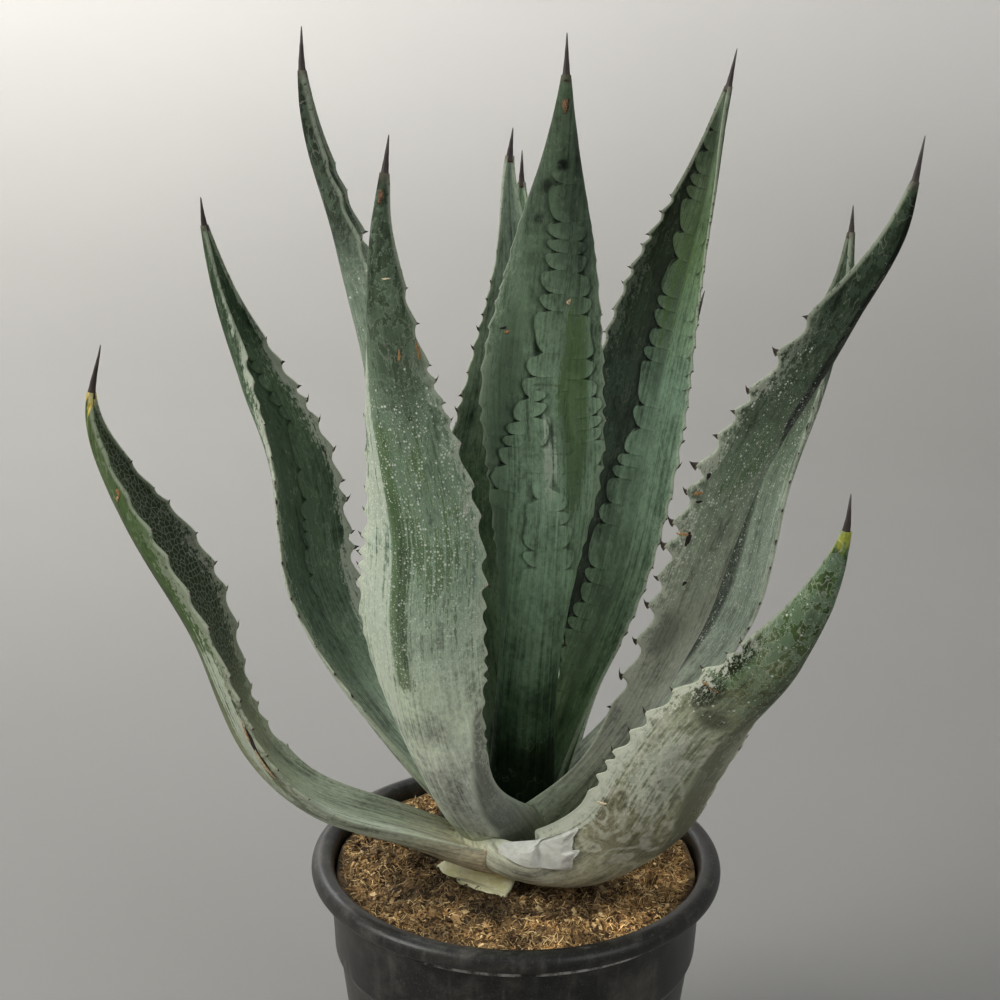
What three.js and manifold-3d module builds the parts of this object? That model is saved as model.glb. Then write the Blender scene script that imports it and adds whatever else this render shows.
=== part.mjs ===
// A potted century plant: a rosette of thick grey-green leaves with toothed margins and dark tip
// spines, rooted in fibrous soil in a black round nursery pot. Millimetres, +Z up, the pot's flat
// underside on z = 0 and its axis on the Z axis. The viewer stands on the -Y side.
import * as THREE from "three";
import { mergeVertices } from "three/addons/utils/BufferGeometryUtils.js";
import Module from "manifold-3d";

const wasm = await Module();
wasm.setup();

const DEG = Math.PI / 180;
const GAP = 0.3; // air left between two pieces that touch

// The pot
const POT_HEIGHT = 180;
const RIM_RADIUS = 110;
const RIM_INNER_RADIUS = 98;
const BAND_HEIGHT = 10; // the rolled rim, seen from the side
const LIP_RADIUS = 102.5; // the thin ridge under the rim
const COLLAR_RADIUS = 99.5;
const COLLAR_BOTTOM = 127; // where the wall steps in
const WALL_TOP_RADIUS = 95;
const FOOT_RADIUS = 80;
const WALL = 2.4;
const FLOOR = 3;
const POT_SIDES = 40;

// The soil and the stem
const SOIL_TOP = 172;
const SOIL_BUMP = 1.8;
const STEM_RADIUS = 21;
const STEM_TOP = 226;
const STEM_SINK = 22; // how deep the stem stands in the soil
const STEM_SIDES = 16;

// The leaves
const EDGE = 1.1; // thickness of a blade at its margin
const TIP_WIDTH = 4.4; // width of a blade where its spine begins
const SPINE_TIP_RADIUS = 0.4;
const TOOTH_SINK = 3.2; // how deep the root of a tooth sits in the blade
const STATIONS = [0, 0.05, 0.11, 0.18, 0.26, 0.36, 0.47, 0.58, 0.69, 0.8, 0.89, 0.95, 1];
const ACROSS = [-1, -0.7, -0.36, 0, 0.36, 0.7, 1];

// One entry a leaf, in the order in which they clasp each other, the outermost first. The route runs
// along the middle of the blade, from inside the stem to the tip of the spine. azimuth is the way the
// leaf leaves the stem, width its greatest width laid flat, base and neck the share of it at the stem
// and at 18 % of the length, peak where it is widest. curl is the half angle of its channel at 0, 25,
// 55, 85 and 100 % of the length, roll its twist about the route at 0, 50 and 100 %, thick its
// thickness at 0, 20, 55 and 100 %.
const LEAVES = [
  {
    name: "leaf_front_right", azimuth: 310, width: 65, base: 0.15, neck: 1.0, peak: 0.41, spine: 16,
    curl: [60, 45, 42, 75, 100], roll: [-40, -28, -20], thick: [15, 11, 7, 4], teeth: 10,
    route: [[-30, -20, 200], [-5, -38, 192], [22, -47, 191], [56, -70, 222], [73, -92, 265],
      [87, -114, 301], [112, -136, 341], [131, -150, 392], [135, -152, 413], [136, -150, 428]],
  },
  {
    name: "leaf_front_left", azimuth: 243, width: 64, base: 1.3, neck: 0.69, peak: 0.41, spine: 16,
    curl: [60, 64, 26, 60, 100], roll: [2, 11, -30], thick: [15, 10, 7, 3.8], teeth: 12,
    route: [[-8, -16, 190], [-30, -55, 235], [-45, -82, 292], [-49, -98, 343], [-48, -108, 397],
      [-61, -110, 469], [-65, -106, 528], [-62, -103, 553], [-60, -101, 569]],
  },
  {
    name: "leaf_left_low", azimuth: 195, width: 66, base: 0.7, neck: 0.86, peak: 0.53, spine: 23,
    curl: [50, 30, 40, 100, 115], roll: [12, -5, -45], thick: [14, 10, 6, 3.6], teeth: 11,
    route: [[-4, -24, 184], [-24, -26, 190], [-61, -30, 205], [-107, -38, 226], [-136, -45, 260],
      [-159, -50, 324], [-195, -54, 399], [-204, -53, 434], [-198, -51, 466]],
  },
  {
    name: "leaf_back_low", azimuth: 61, width: 52, base: 0.85, neck: 0.7, peak: 0.52, spine: 17,
    curl: [55, 45, 40, 70, 100], roll: [0, 0, 0], thick: [13, 9, 6, 3.6], teeth: 10,
    route: [[8, 14, 181], [31, 70, 243], [56, 140, 326], [82, 180, 387], [106, 201, 432],
      [111, 205, 448]],
  },
  {
    name: "leaf_right_mid", azimuth: 23, width: 64, base: 0.85, neck: 0.71, peak: 0.49, spine: 14,
    curl: [60, 42, 32, 60, 100], roll: [4, 0, -4], thick: [13, 9, 6, 3.6], teeth: 11,
    route: [[16, 6, 187], [68, 25, 240], [116, 45, 298], [136, 58, 371], [158, 66, 428],
      [171, 72, 474], [172, 74, 504], [172, 75, 518]],
  },
  {
    name: "leaf_left_mid", azimuth: 155, width: 59, base: 0.8, neck: 0.54, peak: 0.5, spine: 15,
    curl: [61, 47, 41, 98, 100], roll: [10, -11, 4], thick: [13, 9, 6, 3.6], teeth: 12,
    route: [[-16, 8, 186], [-71, 32, 236], [-112, 55, 302], [-126, 70, 371], [-147, 77, 418],
      [-162, 78, 463], [-169, 76, 503], [-170, 75, 518]],
  },
  {
    name: "leaf_back_tall", azimuth: 90, width: 64, base: 0.85, neck: 0.7, peak: 0.52, spine: 18,
    curl: [60, 45, 35, 60, 100], roll: [0, 0, 0], thick: [13, 9, 6, 3.6], teeth: 10,
    route: [[2, 14, 184], [1, 66, 274], [0, 120, 366], [0, 155, 446], [-1, 170, 506],
      [-1, 172, 534]],
  },
  {
    name: "leaf_left_tall", azimuth: 210, width: 58, base: 0.8, neck: 0.7, peak: 0.48, spine: 19,
    curl: [60, 50, 44, 82, 110], roll: [0, -10, -40], thick: [13, 9, 6, 3.6], teeth: 12,
    route: [[-14, -8, 196], [-40, -24, 242], [-59, -34, 312], [-68, -48, 392], [-72, -56, 453],
      [-84, -60, 512], [-97, -60, 559], [-101, -58, 590], [-101, -56, 611]],
  },
  {
    name: "leaf_right_tall", azimuth: 333, width: 78, base: 0.95, neck: 0.75, peak: 0.6, spine: 20,
    curl: [74, 32, 52, 56, 104], roll: [-8, 2, 2], thick: [14, 10, 6.5, 3.8], teeth: 13,
    route: [[16, -8, 190], [52, -36, 257], [81, -58, 330], [109, -70, 418], [142, -76, 481],
      [164, -78, 525], [169, -78, 550], [172, -76, 569]],
  },
  {
    name: "leaf_bud_back", azimuth: 105, width: 50, base: 0.8, neck: 0.8, peak: 0.44, spine: 14,
    curl: [80, 60, 29, 55, 93], roll: [0, -2, 3], thick: [11, 8, 5.5, 3.6], teeth: 11,
    route: [[0, 10, 200], [-10, 22, 289], [-19, 30, 373], [-11, 38, 434], [-7, 42, 487],
      [-9, 42, 537], [-7, 42, 559]],
  },
  {
    name: "leaf_right_back", azimuth: 50, width: 66, base: 0.7, neck: 0.78, peak: 0.48, spine: 20,
    curl: [66, 34, 32, 50, 91], roll: [-8, 12, -16], thick: [13, 9, 6, 3.6], teeth: 13,
    route: [[10, 10, 196], [26, 42, 251], [48, 72, 309], [65, 98, 392], [80, 108, 459],
      [99, 112, 525], [108, 114, 571], [112, 114, 595]],
  },
  {
    name: "leaf_bud_front", azimuth: 272, width: 62, base: 0.66, neck: 0.64, peak: 0.62, spine: 19,
    curl: [60, 88, 27, 80, 115], roll: [2, 0, 0], thick: [22, 16, 7, 3.6], teeth: 12,
    route: [[2, -8, 200], [4, -15, 271], [9, -21, 346], [11, -26, 401], [9, -28, 441],
      [13, -26, 499], [16, -23, 554], [17, -20, 588], [17, -18, 608]],
  },
];

// The young leaves still rolled together in the heart of the rosette: a slim spear
const SPEAR = { x: 4, y: 6, foot: 212, top: 505, lean: 4, spine: 16 };
const SPEAR_SHAPE = [[0, 7], [0.2, 8.5], [0.5, 8], [0.8, 4.8], [1, 2]]; // share of height, radius

// The trimmed base of an old leaf at the front of the stem. Its front edge has a corner at a share of
// the half width, and falls back from there to the left and to the right.
const STUMP = {
  azimuth: 230, start: 16, reach: 41.5, width: 47.6, shift: -1.6, thick: 4.4, rise: 8, drop: 5,
  corner: -0.6, fallLeft: 14, fallRight: 4,
};

// The torn scrap of an old leaf on the outer face of leaf_front_right: its corners, as lengths along
// that leaf and shares of its half width
const SCRAP = {
  thick: 2.2, left: [32, -0.98], top: [101, -0.8], bottom: [80, -0.28], cover: "leaf_front_right",
};

const COLOURS = {
  leaf: new THREE.Color(0.25, 0.34, 0.28),
  spine: new THREE.Color(0.07, 0.045, 0.04),
  stump: new THREE.Color(0.5, 0.52, 0.33),
  scrap: new THREE.Color(0.6, 0.62, 0.58),
  stem: new THREE.Color(0.42, 0.43, 0.33),
  soil: new THREE.Color(0.24, 0.14, 0.07),
  pot: new THREE.Color(0.035, 0.037, 0.04),
};

// A closed triangle mesh as a solid, turned the right way round if its faces point inwards.
function solid(points, faces) {
  const flat = new Float32Array(points.flatMap((p) => [p.x, p.y, p.z]));
  let volume = 0;
  for (const [a, b, c] of faces) {
    volume += points[a].dot(new THREE.Vector3().crossVectors(points[b], points[c]));
  }
  const order = volume < 0 ? ([a, b, c]) => [a, c, b] : (f) => f;
  const mesh = new wasm.Mesh({
    numProp: 3,
    vertProperties: flat,
    triVerts: new Uint32Array(faces.flatMap(order)),
  });
  mesh.merge();
  return new wasm.Manifold(mesh);
}

// Skins a row of rings that all have the same number of points; caps lists the triangles of an end.
function loft(rings, caps) {
  const n = rings[0].length;
  const points = rings.flat();
  const faces = [];
  for (let i = 0; i < rings.length - 1; i++) {
    for (let j = 0; j < n; j++) {
      const a = i * n + j;
      const b = i * n + ((j + 1) % n);
      faces.push([a, b, a + n], [b, b + n, a + n]);
    }
  }
  const last = (rings.length - 1) * n;
  for (const [a, b, c] of caps) {
    faces.push([a, c, b], [last + a, last + b, last + c]);
  }
  return solid(points, faces);
}

// The end of a ring that goes out along one face and back along the other.
function stripCap(n) {
  const caps = [];
  for (let i = 0; i < n / 2 - 1; i++) {
    caps.push([i, i + 1, n - 1 - i], [i + 1, n - 2 - i, n - 1 - i]);
  }
  return caps;
}

function fanCap(n) {
  return Array.from({ length: n - 2 }, (_, i) => [0, i + 1, i + 2]);
}

// A solid of revolution from (radius, height) points, the first and the last on the axis.
function turned(profile, sides) {
  const points = [];
  const faces = [];
  const rows = profile.map(([r, z]) => {
    const first = points.length;
    const count = r === 0 ? 1 : sides;
    for (let i = 0; i < count; i++) {
      const a = (2 * Math.PI * i) / sides;
      points.push(new THREE.Vector3(r * Math.cos(a), r * Math.sin(a), z));
    }
    return { first, count };
  });
  for (let k = 0; k < rows.length - 1; k++) {
    const low = rows[k];
    const high = rows[k + 1];
    for (let i = 0; i < sides; i++) {
      const j = (i + 1) % sides;
      const a = low.first + (low.count > 1 ? i : 0);
      const b = low.first + (low.count > 1 ? j : 0);
      const c = high.first + (high.count > 1 ? i : 0);
      const d = high.first + (high.count > 1 ? j : 0);
      if (low.count > 1) faces.push([a, b, c]);
      if (high.count > 1) faces.push([b, d, c]);
    }
  }
  return solid(points, faces);
}

function largestBody(piece) {
  const bodies = piece.decompose();
  return bodies.reduce((best, body) => (body.volume() > best.volume() ? body : best));
}

function meshOf(name, piece, colour, roughness, metalness = 0) {
  const made = piece.getMesh();
  const geometry = new THREE.BufferGeometry();
  geometry.setAttribute("position", new THREE.BufferAttribute(made.vertProperties, 3));
  geometry.setIndex(new THREE.BufferAttribute(made.triVerts, 1));
  const material = new THREE.MeshStandardMaterial({ color: colour, roughness, metalness, flatShading: true });
  const mesh = new THREE.Mesh(geometry, material);
  mesh.name = name;
  return mesh;
}

// A smooth curve through (x, y) pairs that never overshoots them.
function smoothThrough(xs, ys, x) {
  const steps = xs.slice(1).map((v, i) => (ys[i + 1] - ys[i]) / (v - xs[i]));
  const slopes = xs.map((_, i) => {
    if (i === 0) return steps[0];
    if (i === xs.length - 1) return steps[i - 1];
    const product = steps[i - 1] * steps[i];
    return product <= 0 ? 0 : (2 * product) / (steps[i - 1] + steps[i]);
  });
  let i = 0;
  while (i < xs.length - 2 && x > xs[i + 1]) i++;
  const h = xs[i + 1] - xs[i];
  const s = THREE.MathUtils.clamp((x - xs[i]) / h, 0, 1);
  return (
    (1 + 2 * s) * (1 - s) ** 2 * ys[i] +
    s * (1 - s) ** 2 * h * slopes[i] +
    s * s * (3 - 2 * s) * ys[i + 1] +
    s * s * (s - 1) * h * slopes[i + 1]
  );
}

// Repeatable scatter between 0 and 1 for the k-th thing of a kind.
function scatter(k, kind) {
  const v = Math.sin(k * 12.9898 + kind * 78.233) * 43758.5453;
  return v - Math.floor(v);
}

// A leaf as a channel-shaped blade that follows its route.
class Leaf {
  constructor(spec, index) {
    this.spec = spec;
    this.index = index;
    const points = spec.route.map((p) => new THREE.Vector3(...p));
    this.curve = new THREE.CatmullRomCurve3(points, false, "centripetal");
    this.curve.arcLengthDivisions = 400;
    this.length = this.curve.getLength();
    this.blade = this.length - spec.spine;
    const azimuth = spec.azimuth * DEG;
    this.side = new THREE.Vector3(-Math.sin(azimuth), Math.cos(azimuth), 0);
  }

  // Where the route is at a length s from its start, with the axes along it, across it and inwards.
  frame(s) {
    const t = THREE.MathUtils.clamp(s / this.blade, 0, 1);
    const at = this.curve.getPointAt(THREE.MathUtils.clamp(s / this.length, 0, 1));
    const along = this.curve.getTangentAt(THREE.MathUtils.clamp(s / this.length, 0, 1));
    const across = this.side.clone().addScaledVector(along, -this.side.dot(along)).normalize();
    const inward = new THREE.Vector3().crossVectors(along, across);
    const roll = smoothThrough([0, 0.5, 1], this.spec.roll, t) * DEG;
    const u = across.clone().multiplyScalar(Math.cos(roll)).addScaledVector(inward, Math.sin(roll));
    const v = inward.clone().multiplyScalar(Math.cos(roll)).addScaledVector(across, -Math.sin(roll));
    return { at, along, across: u, inward: v };
  }

  halfWidth(t) {
    const { width, base, neck, peak } = this.spec;
    const stations = [0, 0.18, 0.18 + (peak - 0.18) / 2, peak, peak + (1 - peak) * 0.45];
    const shares = [base, neck, (neck + 1) / 2 + 0.06 * (1 - neck), 1, 0.8];
    stations.push(peak + (1 - peak) * 0.78, 1);
    shares.push(0.38, TIP_WIDTH / width);
    return 0.5 * width * smoothThrough(stations, shares, t);
  }

  curl(t) {
    return smoothThrough([0, 0.25, 0.55, 0.85, 1], this.spec.curl, t) * DEG;
  }

  thick(t) {
    return smoothThrough([0, 0.2, 0.55, 1], this.spec.thick, t);
  }

  // A point at length s and share u of the half width; face is 1 inside, -1 outside, 0 between.
  point(s, u, face, grow = 0, lift = 0) {
    const t = THREE.MathUtils.clamp(s / this.blade, 0, 1);
    const { at, across, inward } = this.frame(s);
    const angle = this.curl(t);
    const radius = this.halfWidth(t) / angle;
    const turn = u * angle + (Math.abs(u) === 1 ? (u * grow) / radius : 0);
    let half = 0.5 * (EDGE + (this.thick(t) - EDGE) * (1 - u * u) ** 0.9) + grow + lift;
    if (face > 0) half = Math.min(half, 0.8 * radius);
    const x = (radius - face * half) * Math.sin(turn);
    const y = radius - (radius - face * half) * Math.cos(turn);
    return at.clone().addScaledVector(across, x).addScaledVector(inward, y);
  }

  body(grow = 0) {
    const outer = ACROSS;
    const inner = [...ACROSS].reverse();
    const rings = STATIONS.map((t) => {
      const s = t * this.blade + (t === 1 ? grow : 0);
      return [
        ...outer.map((u) => this.point(s, u, -1, grow)),
        ...inner.map((u) => this.point(s, u, 1, grow)),
      ];
    });
    return loft(rings, stripCap(rings[0].length));
  }

  // The teeth of one margin: where each stands, how long it is and how far it leans to the tip.
  teeth(margin) {
    const count = this.spec.teeth;
    return Array.from({ length: count }, (_, k) => {
      const kind = this.index * 2 + (margin > 0 ? 1 : 2);
      const t = 0.2 + (0.74 * (k + 0.5 * scatter(k, kind))) / count;
      const size = (2.4 + 2.2 * Math.sin(Math.PI * Math.min(1, t * 1.1))) * (0.8 + 0.4 * scatter(k, kind + 0.5));
      return { t, size, lean: 0.9 * (scatter(k, kind + 0.25) - 0.35) };
    });
  }

  tooth({ t, size, lean }, margin, grow = 0) {
    const s = t * this.blade;
    const { along, across, inward } = this.frame(s);
    const angle = this.curl(t);
    const out = across.clone().multiplyScalar(margin * Math.cos(angle)).addScaledVector(inward, Math.sin(angle));
    const flat = new THREE.Vector3().crossVectors(out, along);
    const edge = this.point(s, margin, 0);
    const corners = [
      [-TOOTH_SINK, -0.75 * size - 1, -0.75],
      [-TOOTH_SINK, 0.75 * size + 1, -0.75],
      [-TOOTH_SINK, 0, 1],
      [size, size * lean, 0],
    ];
    const spot = ([o, a, f]) =>
      edge.clone().addScaledVector(out, o).addScaledVector(along, a).addScaledVector(flat, f);
    if (grow === 0) return solid(corners.map(spot), [[0, 2, 1], [0, 1, 3], [1, 2, 3], [2, 0, 3]]);
    const around = corners.flatMap(([o, a, f]) =>
      [-1, 1].flatMap((i) => [-1, 1].flatMap((j) => [-1, 1].map((k) => [o + i * grow, a + j * grow, f + k * grow]))),
    );
    return wasm.Manifold.hull(around.map(spot).map((p) => p.toArray()));
  }

  solid(grow = 0) {
    const parts = [this.body(grow)];
    for (const margin of [-1, 1]) {
      for (const tooth of this.teeth(margin)) parts.push(this.tooth(tooth, margin, grow));
    }
    return wasm.Manifold.union(parts);
  }

  // The spine, seated on the end of the blade.
  spine(grow = 0) {
    const rings = [0, 0.3, 0.65, 1].map((share) => {
      const s = this.blade + GAP - grow + share * (this.spec.spine - GAP + grow);
      const { at, across, inward } = this.frame(Math.min(s, this.length));
      const radius = (2.15 - (2.15 - SPINE_TIP_RADIUS) * share ** 0.85) + grow;
      return Array.from({ length: 6 }, (_, i) => {
        const a = (i * Math.PI) / 3;
        return at
          .clone()
          .addScaledVector(across, radius * Math.cos(a))
          .addScaledVector(inward, radius * Math.sin(a) + 0.4 * (1 - share));
      });
    });
    return loft(rings, fanCap(6));
  }
}

// The pot: a tapered tub with a stepped collar, a thin lip and a rolled rim
const rimBottom = POT_HEIGHT - BAND_HEIGHT;
const slope = (WALL_TOP_RADIUS - FOOT_RADIUS) / COLLAR_BOTTOM;
const outside = [
  [0, 0],
  [FOOT_RADIUS - 2, 0],
  [FOOT_RADIUS, 2],
  [WALL_TOP_RADIUS, COLLAR_BOTTOM - 3],
  [COLLAR_RADIUS - 1.8, COLLAR_BOTTOM + 1],
  [COLLAR_RADIUS, rimBottom - 6],
  [LIP_RADIUS, rimBottom - 5],
  [LIP_RADIUS, rimBottom - 3],
  [LIP_RADIUS + 1, rimBottom - 1.6],
  [RIM_RADIUS - 2.4, rimBottom],
  [RIM_RADIUS - 0.4, rimBottom + 1.6],
  [RIM_RADIUS, rimBottom + 4.6],
  [RIM_RADIUS - 1, POT_HEIGHT - 2.2],
  [RIM_RADIUS - 3.6, POT_HEIGHT - 0.3],
];
const inside = [
  [RIM_RADIUS - 6, POT_HEIGHT],
  [RIM_INNER_RADIUS + 1.6, POT_HEIGHT - 1],
  [RIM_INNER_RADIUS, POT_HEIGHT - 4],
  [COLLAR_RADIUS - 1.8 - WALL, COLLAR_BOTTOM + 2],
  [WALL_TOP_RADIUS - WALL, COLLAR_BOTTOM - 3],
  [FOOT_RADIUS + slope * FLOOR - WALL, FLOOR],
  [0, FLOOR],
];
const pot = turned([...outside, ...inside], POT_SIDES);

// The soil: it fills the pot up to a low, lumpy top
function soilBody() {
  const rings = [];
  const flank = [
    [FOOT_RADIUS + slope * FLOOR - WALL - GAP, FLOOR + GAP],
    [WALL_TOP_RADIUS - WALL - GAP, COLLAR_BOTTOM - 3],
    [COLLAR_RADIUS - 1.8 - WALL - GAP, COLLAR_BOTTOM + 2.2],
    [RIM_INNER_RADIUS - GAP - 0.9, SOIL_TOP - 2.5],
  ];
  const top = [
    [0.94, 0.2], [0.8, 0.8], [0.62, 1], [0.44, 1], [0.25, 1],
  ];
  const ring = (radius, height, rough) =>
    Array.from({ length: POT_SIDES }, (_, i) => {
      const a = (2 * Math.PI * i) / POT_SIDES;
      const bump = Math.sin(3 * a + radius * 0.08) + 0.8 * Math.sin(7 * a - radius * 0.05 + 2);
      const x = radius * Math.cos(a);
      return new THREE.Vector3(x, radius * Math.sin(a), height + rough * SOIL_BUMP * bump);
    });
  for (const [radius, z] of flank) rings.push(ring(radius, z, 0));
  const edge = RIM_INNER_RADIUS - GAP - 1.5;
  for (const [share, rough] of top) rings.push(ring(edge * share, SOIL_TOP + 2 * (1 - share), rough));
  return loft(rings, fanCap(POT_SIDES));
}

// The stem: a short stub between the leaf bases, which hide most of it
function stemBody(grow = 0) {
  const foot = SOIL_TOP - STEM_SINK - grow;
  const flank = [
    [STEM_RADIUS - 6, foot],
    [STEM_RADIUS, SOIL_TOP - 6],
    [STEM_RADIUS, SOIL_TOP + 7],
    [STEM_RADIUS - 5, SOIL_TOP + 22 + grow],
    [STEM_RADIUS - 13, STEM_TOP - 14 + grow],
    [STEM_RADIUS - 18, STEM_TOP + grow],
  ];
  const profile = flank.map(([radius, z]) => [radius + grow, z]);
  return turned([[0, foot], ...profile, [0, STEM_TOP + 1 + grow]], STEM_SIDES);
}

// The stump: a short, thick plate round the front of the stem, cut off at a slant
function stumpBody(grow = 0) {
  const azimuth = STUMP.azimuth * DEG;
  const out = new THREE.Vector3(Math.cos(azimuth), Math.sin(azimuth), 0);
  const across = new THREE.Vector3(-Math.sin(azimuth), Math.cos(azimuth), 0);
  const rows = [[STUMP.start, 0.74], [25, 0.84], [34, 0.95], [STUMP.reach, 1]]; // reach, share of width
  const rings = rows.map(([reach, taper], row) => {
    const upper = [];
    const lower = [];
    for (const u of [-1, -0.67, -0.33, 0, 0.33, 0.67, 1]) {
      const half = 0.5 * STUMP.width * taper + (Math.abs(u) === 1 ? grow : 0);
      const fall = u < STUMP.corner ? STUMP.fallLeft : STUMP.fallRight;
      const last = row / (rows.length - 1);
      const bow = reach - last * fall * Math.abs(u - STUMP.corner) + (last === 1 ? 2 * grow : 0);
      const share = (bow - STUMP.start) / (STUMP.reach - STUMP.start);
      const z = SOIL_TOP + STUMP.rise - STUMP.drop * share - u * u;
      const spot = out.clone().multiplyScalar(bow).addScaledVector(across, u * half + STUMP.shift);
      const thick = 0.5 * STUMP.thick * (1 - 0.4 * u * u) + grow;
      upper.push(spot.clone().setZ(z + thick));
      lower.unshift(spot.clone().setZ(z - thick));
    }
    return [...upper, ...lower];
  });
  return loft(rings, stripCap(14));
}

// The scrap: a thin torn plate that hugs the outer face of a leaf and fans out to a ragged end
function scrapBody(leaf, grow = 0) {
  const rows = 6;
  const columns = 8;
  const mix = THREE.MathUtils.lerp;
  const rings = Array.from({ length: rows }, (_, row) => {
    const down = row / (rows - 1) + ((2 * row) / (rows - 1) - 1) * 0.04 * (grow > 0 ? 1 : 0);
    const ragged = 2.4 * Math.sin(row * 2.4 + 0.5) + 1.4 * Math.sin(row * 4.7);
    const skins = [[], []];
    for (let i = 0; i < columns; i++) {
      const along = i / (columns - 1);
      const s = mix(SCRAP.left[0], mix(SCRAP.top[0], SCRAP.bottom[0], down) + ragged, along);
      const u = mix(SCRAP.left[1] + 0.16 * down, mix(SCRAP.top[1], SCRAP.bottom[1], down), along);
      const place = s + (2 * along - 1) * 2 * grow;
      skins[0].push(leaf.point(place, u, -1, 0, GAP - grow));
      skins[1].unshift(leaf.point(place, u, -1, 0, GAP + SCRAP.thick + grow));
    }
    return [...skins[0], ...skins[1]];
  });
  return loft(rings, stripCap(columns * 2));
}

function spearBody(grow = 0) {
  const rings = SPEAR_SHAPE.map(([share, radius]) =>
    Array.from({ length: 12 }, (_, i) => {
      const a = (i * Math.PI) / 6;
      const z = THREE.MathUtils.lerp(SPEAR.foot, SPEAR.top, share) + (share === 1 ? grow : 0);
      const r = radius + grow;
      return new THREE.Vector3(SPEAR.x + SPEAR.lean * share + r * Math.cos(a), SPEAR.y + r * Math.sin(a), z);
    }),
  );
  return loft(rings, fanCap(12));
}

function spearSpine() {
  const rings = [0, 0.5, 1].map((share) =>
    Array.from({ length: 8 }, (_, i) => {
      const a = (i * Math.PI) / 4;
      const r = THREE.MathUtils.lerp(1.9, SPINE_TIP_RADIUS, share);
      const z = SPEAR.top + GAP + SPEAR.spine * share;
      return new THREE.Vector3(SPEAR.x + SPEAR.lean + r * Math.cos(a), SPEAR.y + r * Math.sin(a), z);
    }),
  );
  return loft(rings, fanCap(8));
}

// Every piece is cut back from the ones outside it, so an older leaf clasps the younger ones
const plant = new THREE.Group();
plant.name = "century_plant";
plant.add(meshOf("pot", pot, COLOURS.pot, 0.45));

const leaves = LEAVES.map((spec, index) => new Leaf(spec, index));
const covered = leaves.find((leaf) => leaf.spec.name === SCRAP.cover);
const stump = largestBody(stumpBody().subtract(stemBody(GAP)));
const scrap = largestBody(scrapBody(covered).subtract(stemBody(GAP)).subtract(stumpBody(GAP)));
plant.add(meshOf("stem", stemBody(), COLOURS.stem, 0.7));
plant.add(meshOf("stump_front", stump, COLOURS.stump, 0.6));
plant.add(meshOf("scrap_front", scrap, COLOURS.scrap, 0.8));

const taken = [stemBody(GAP), stumpBody(1.5 * GAP), scrapBody(covered, GAP)];
for (const leaf of leaves) {
  const blade = largestBody(taken.reduce((left, cutter) => left.subtract(cutter), leaf.solid()));
  plant.add(meshOf(leaf.spec.name, blade, COLOURS.leaf, 0.55));
  plant.add(meshOf(leaf.spec.name.replace("leaf", "spine"), leaf.spine(), COLOURS.spine, 0.4));
  taken.push(leaf.solid(GAP));
}
const spear = largestBody(taken.reduce((left, cutter) => left.subtract(cutter), spearBody()));
plant.add(meshOf("leaf_spear", spear, COLOURS.leaf, 0.55));
plant.add(meshOf("spine_spear", spearSpine(), COLOURS.spine, 0.4));

const soil = largestBody(taken.reduce((left, cutter) => left.subtract(cutter), soilBody()));
plant.add(meshOf("soil", soil, COLOURS.soil, 0.95));

export default plant;
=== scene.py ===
# %% [markdown]
# # A potted century plant
# A century plant is a rosette of thick, channel-shaped leaves. Each leaf has a row of hooked teeth on
# both margins and one hard spine at its end, and a pale wax over green flesh. This one stands in a black
# nursery pot. The solids come from the frame, in metres, with +Z up, the pot's underside on z = 0 and
# the viewer on the -Y side. A solid is right in place and size, but plain. So this script builds a finer
# skin for every solid, and its finish.

# %% The frame
import math
from types import SimpleNamespace

import bmesh
import bpy
import numpy as np
from mathutils import Matrix, Vector


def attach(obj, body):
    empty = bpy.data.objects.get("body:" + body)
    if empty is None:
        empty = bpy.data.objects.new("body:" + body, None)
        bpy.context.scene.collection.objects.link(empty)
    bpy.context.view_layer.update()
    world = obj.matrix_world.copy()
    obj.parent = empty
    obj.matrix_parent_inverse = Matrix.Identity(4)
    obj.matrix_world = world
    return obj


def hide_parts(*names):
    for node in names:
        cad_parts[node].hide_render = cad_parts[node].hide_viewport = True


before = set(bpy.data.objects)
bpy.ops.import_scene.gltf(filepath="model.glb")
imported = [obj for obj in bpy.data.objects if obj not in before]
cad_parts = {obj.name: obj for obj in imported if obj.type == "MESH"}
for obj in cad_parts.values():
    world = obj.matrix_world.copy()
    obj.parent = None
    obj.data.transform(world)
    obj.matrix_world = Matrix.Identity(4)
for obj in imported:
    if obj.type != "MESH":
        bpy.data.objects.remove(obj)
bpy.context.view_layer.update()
MM = 0.001

# %% [markdown]
# ## The camera
# The camera comes first, because every later choice is judged through it. It could be placed by eye, but
# then its view drifts with every try. Here it looks down on the plant at 17 degrees from 0.9 m away,
# with a very slight tilt of the horizon, and its field of view is the focal length in pixels of the
# square picture. Those numbers follow from the ellipse of the pot's rim.

# %% The camera
PICTURE = 1000
FOCAL_PIXELS = 1800
SENSOR = 36.0
PITCH = math.radians(17.15)
TILT = math.radians(0.73)
CAMERA_SPOT = (-0.0111, -0.8724, 0.6463)

forward = Vector((0, math.cos(PITCH), -math.sin(PITCH)))
level_up = Vector((0, math.sin(PITCH), math.cos(PITCH)))
level_right = Vector((1, 0, 0))
right = math.cos(TILT) * level_right + math.sin(TILT) * level_up
upward = math.cos(TILT) * level_up - math.sin(TILT) * level_right

camera_data = bpy.data.cameras.new("camera")
camera_data.sensor_width = SENSOR
camera_data.lens = FOCAL_PIXELS / PICTURE * SENSOR
camera_data.clip_start = 0.01
camera = bpy.data.objects.new("camera", camera_data)
turned_view = Matrix((right, upward, -forward)).transposed().to_4x4()
camera.matrix_world = Matrix.Translation(CAMERA_SPOT) @ turned_view
bpy.context.scene.collection.objects.link(camera)
bpy.context.scene.camera = camera
print("lens", round(camera_data.lens, 1), "mm")

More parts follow.
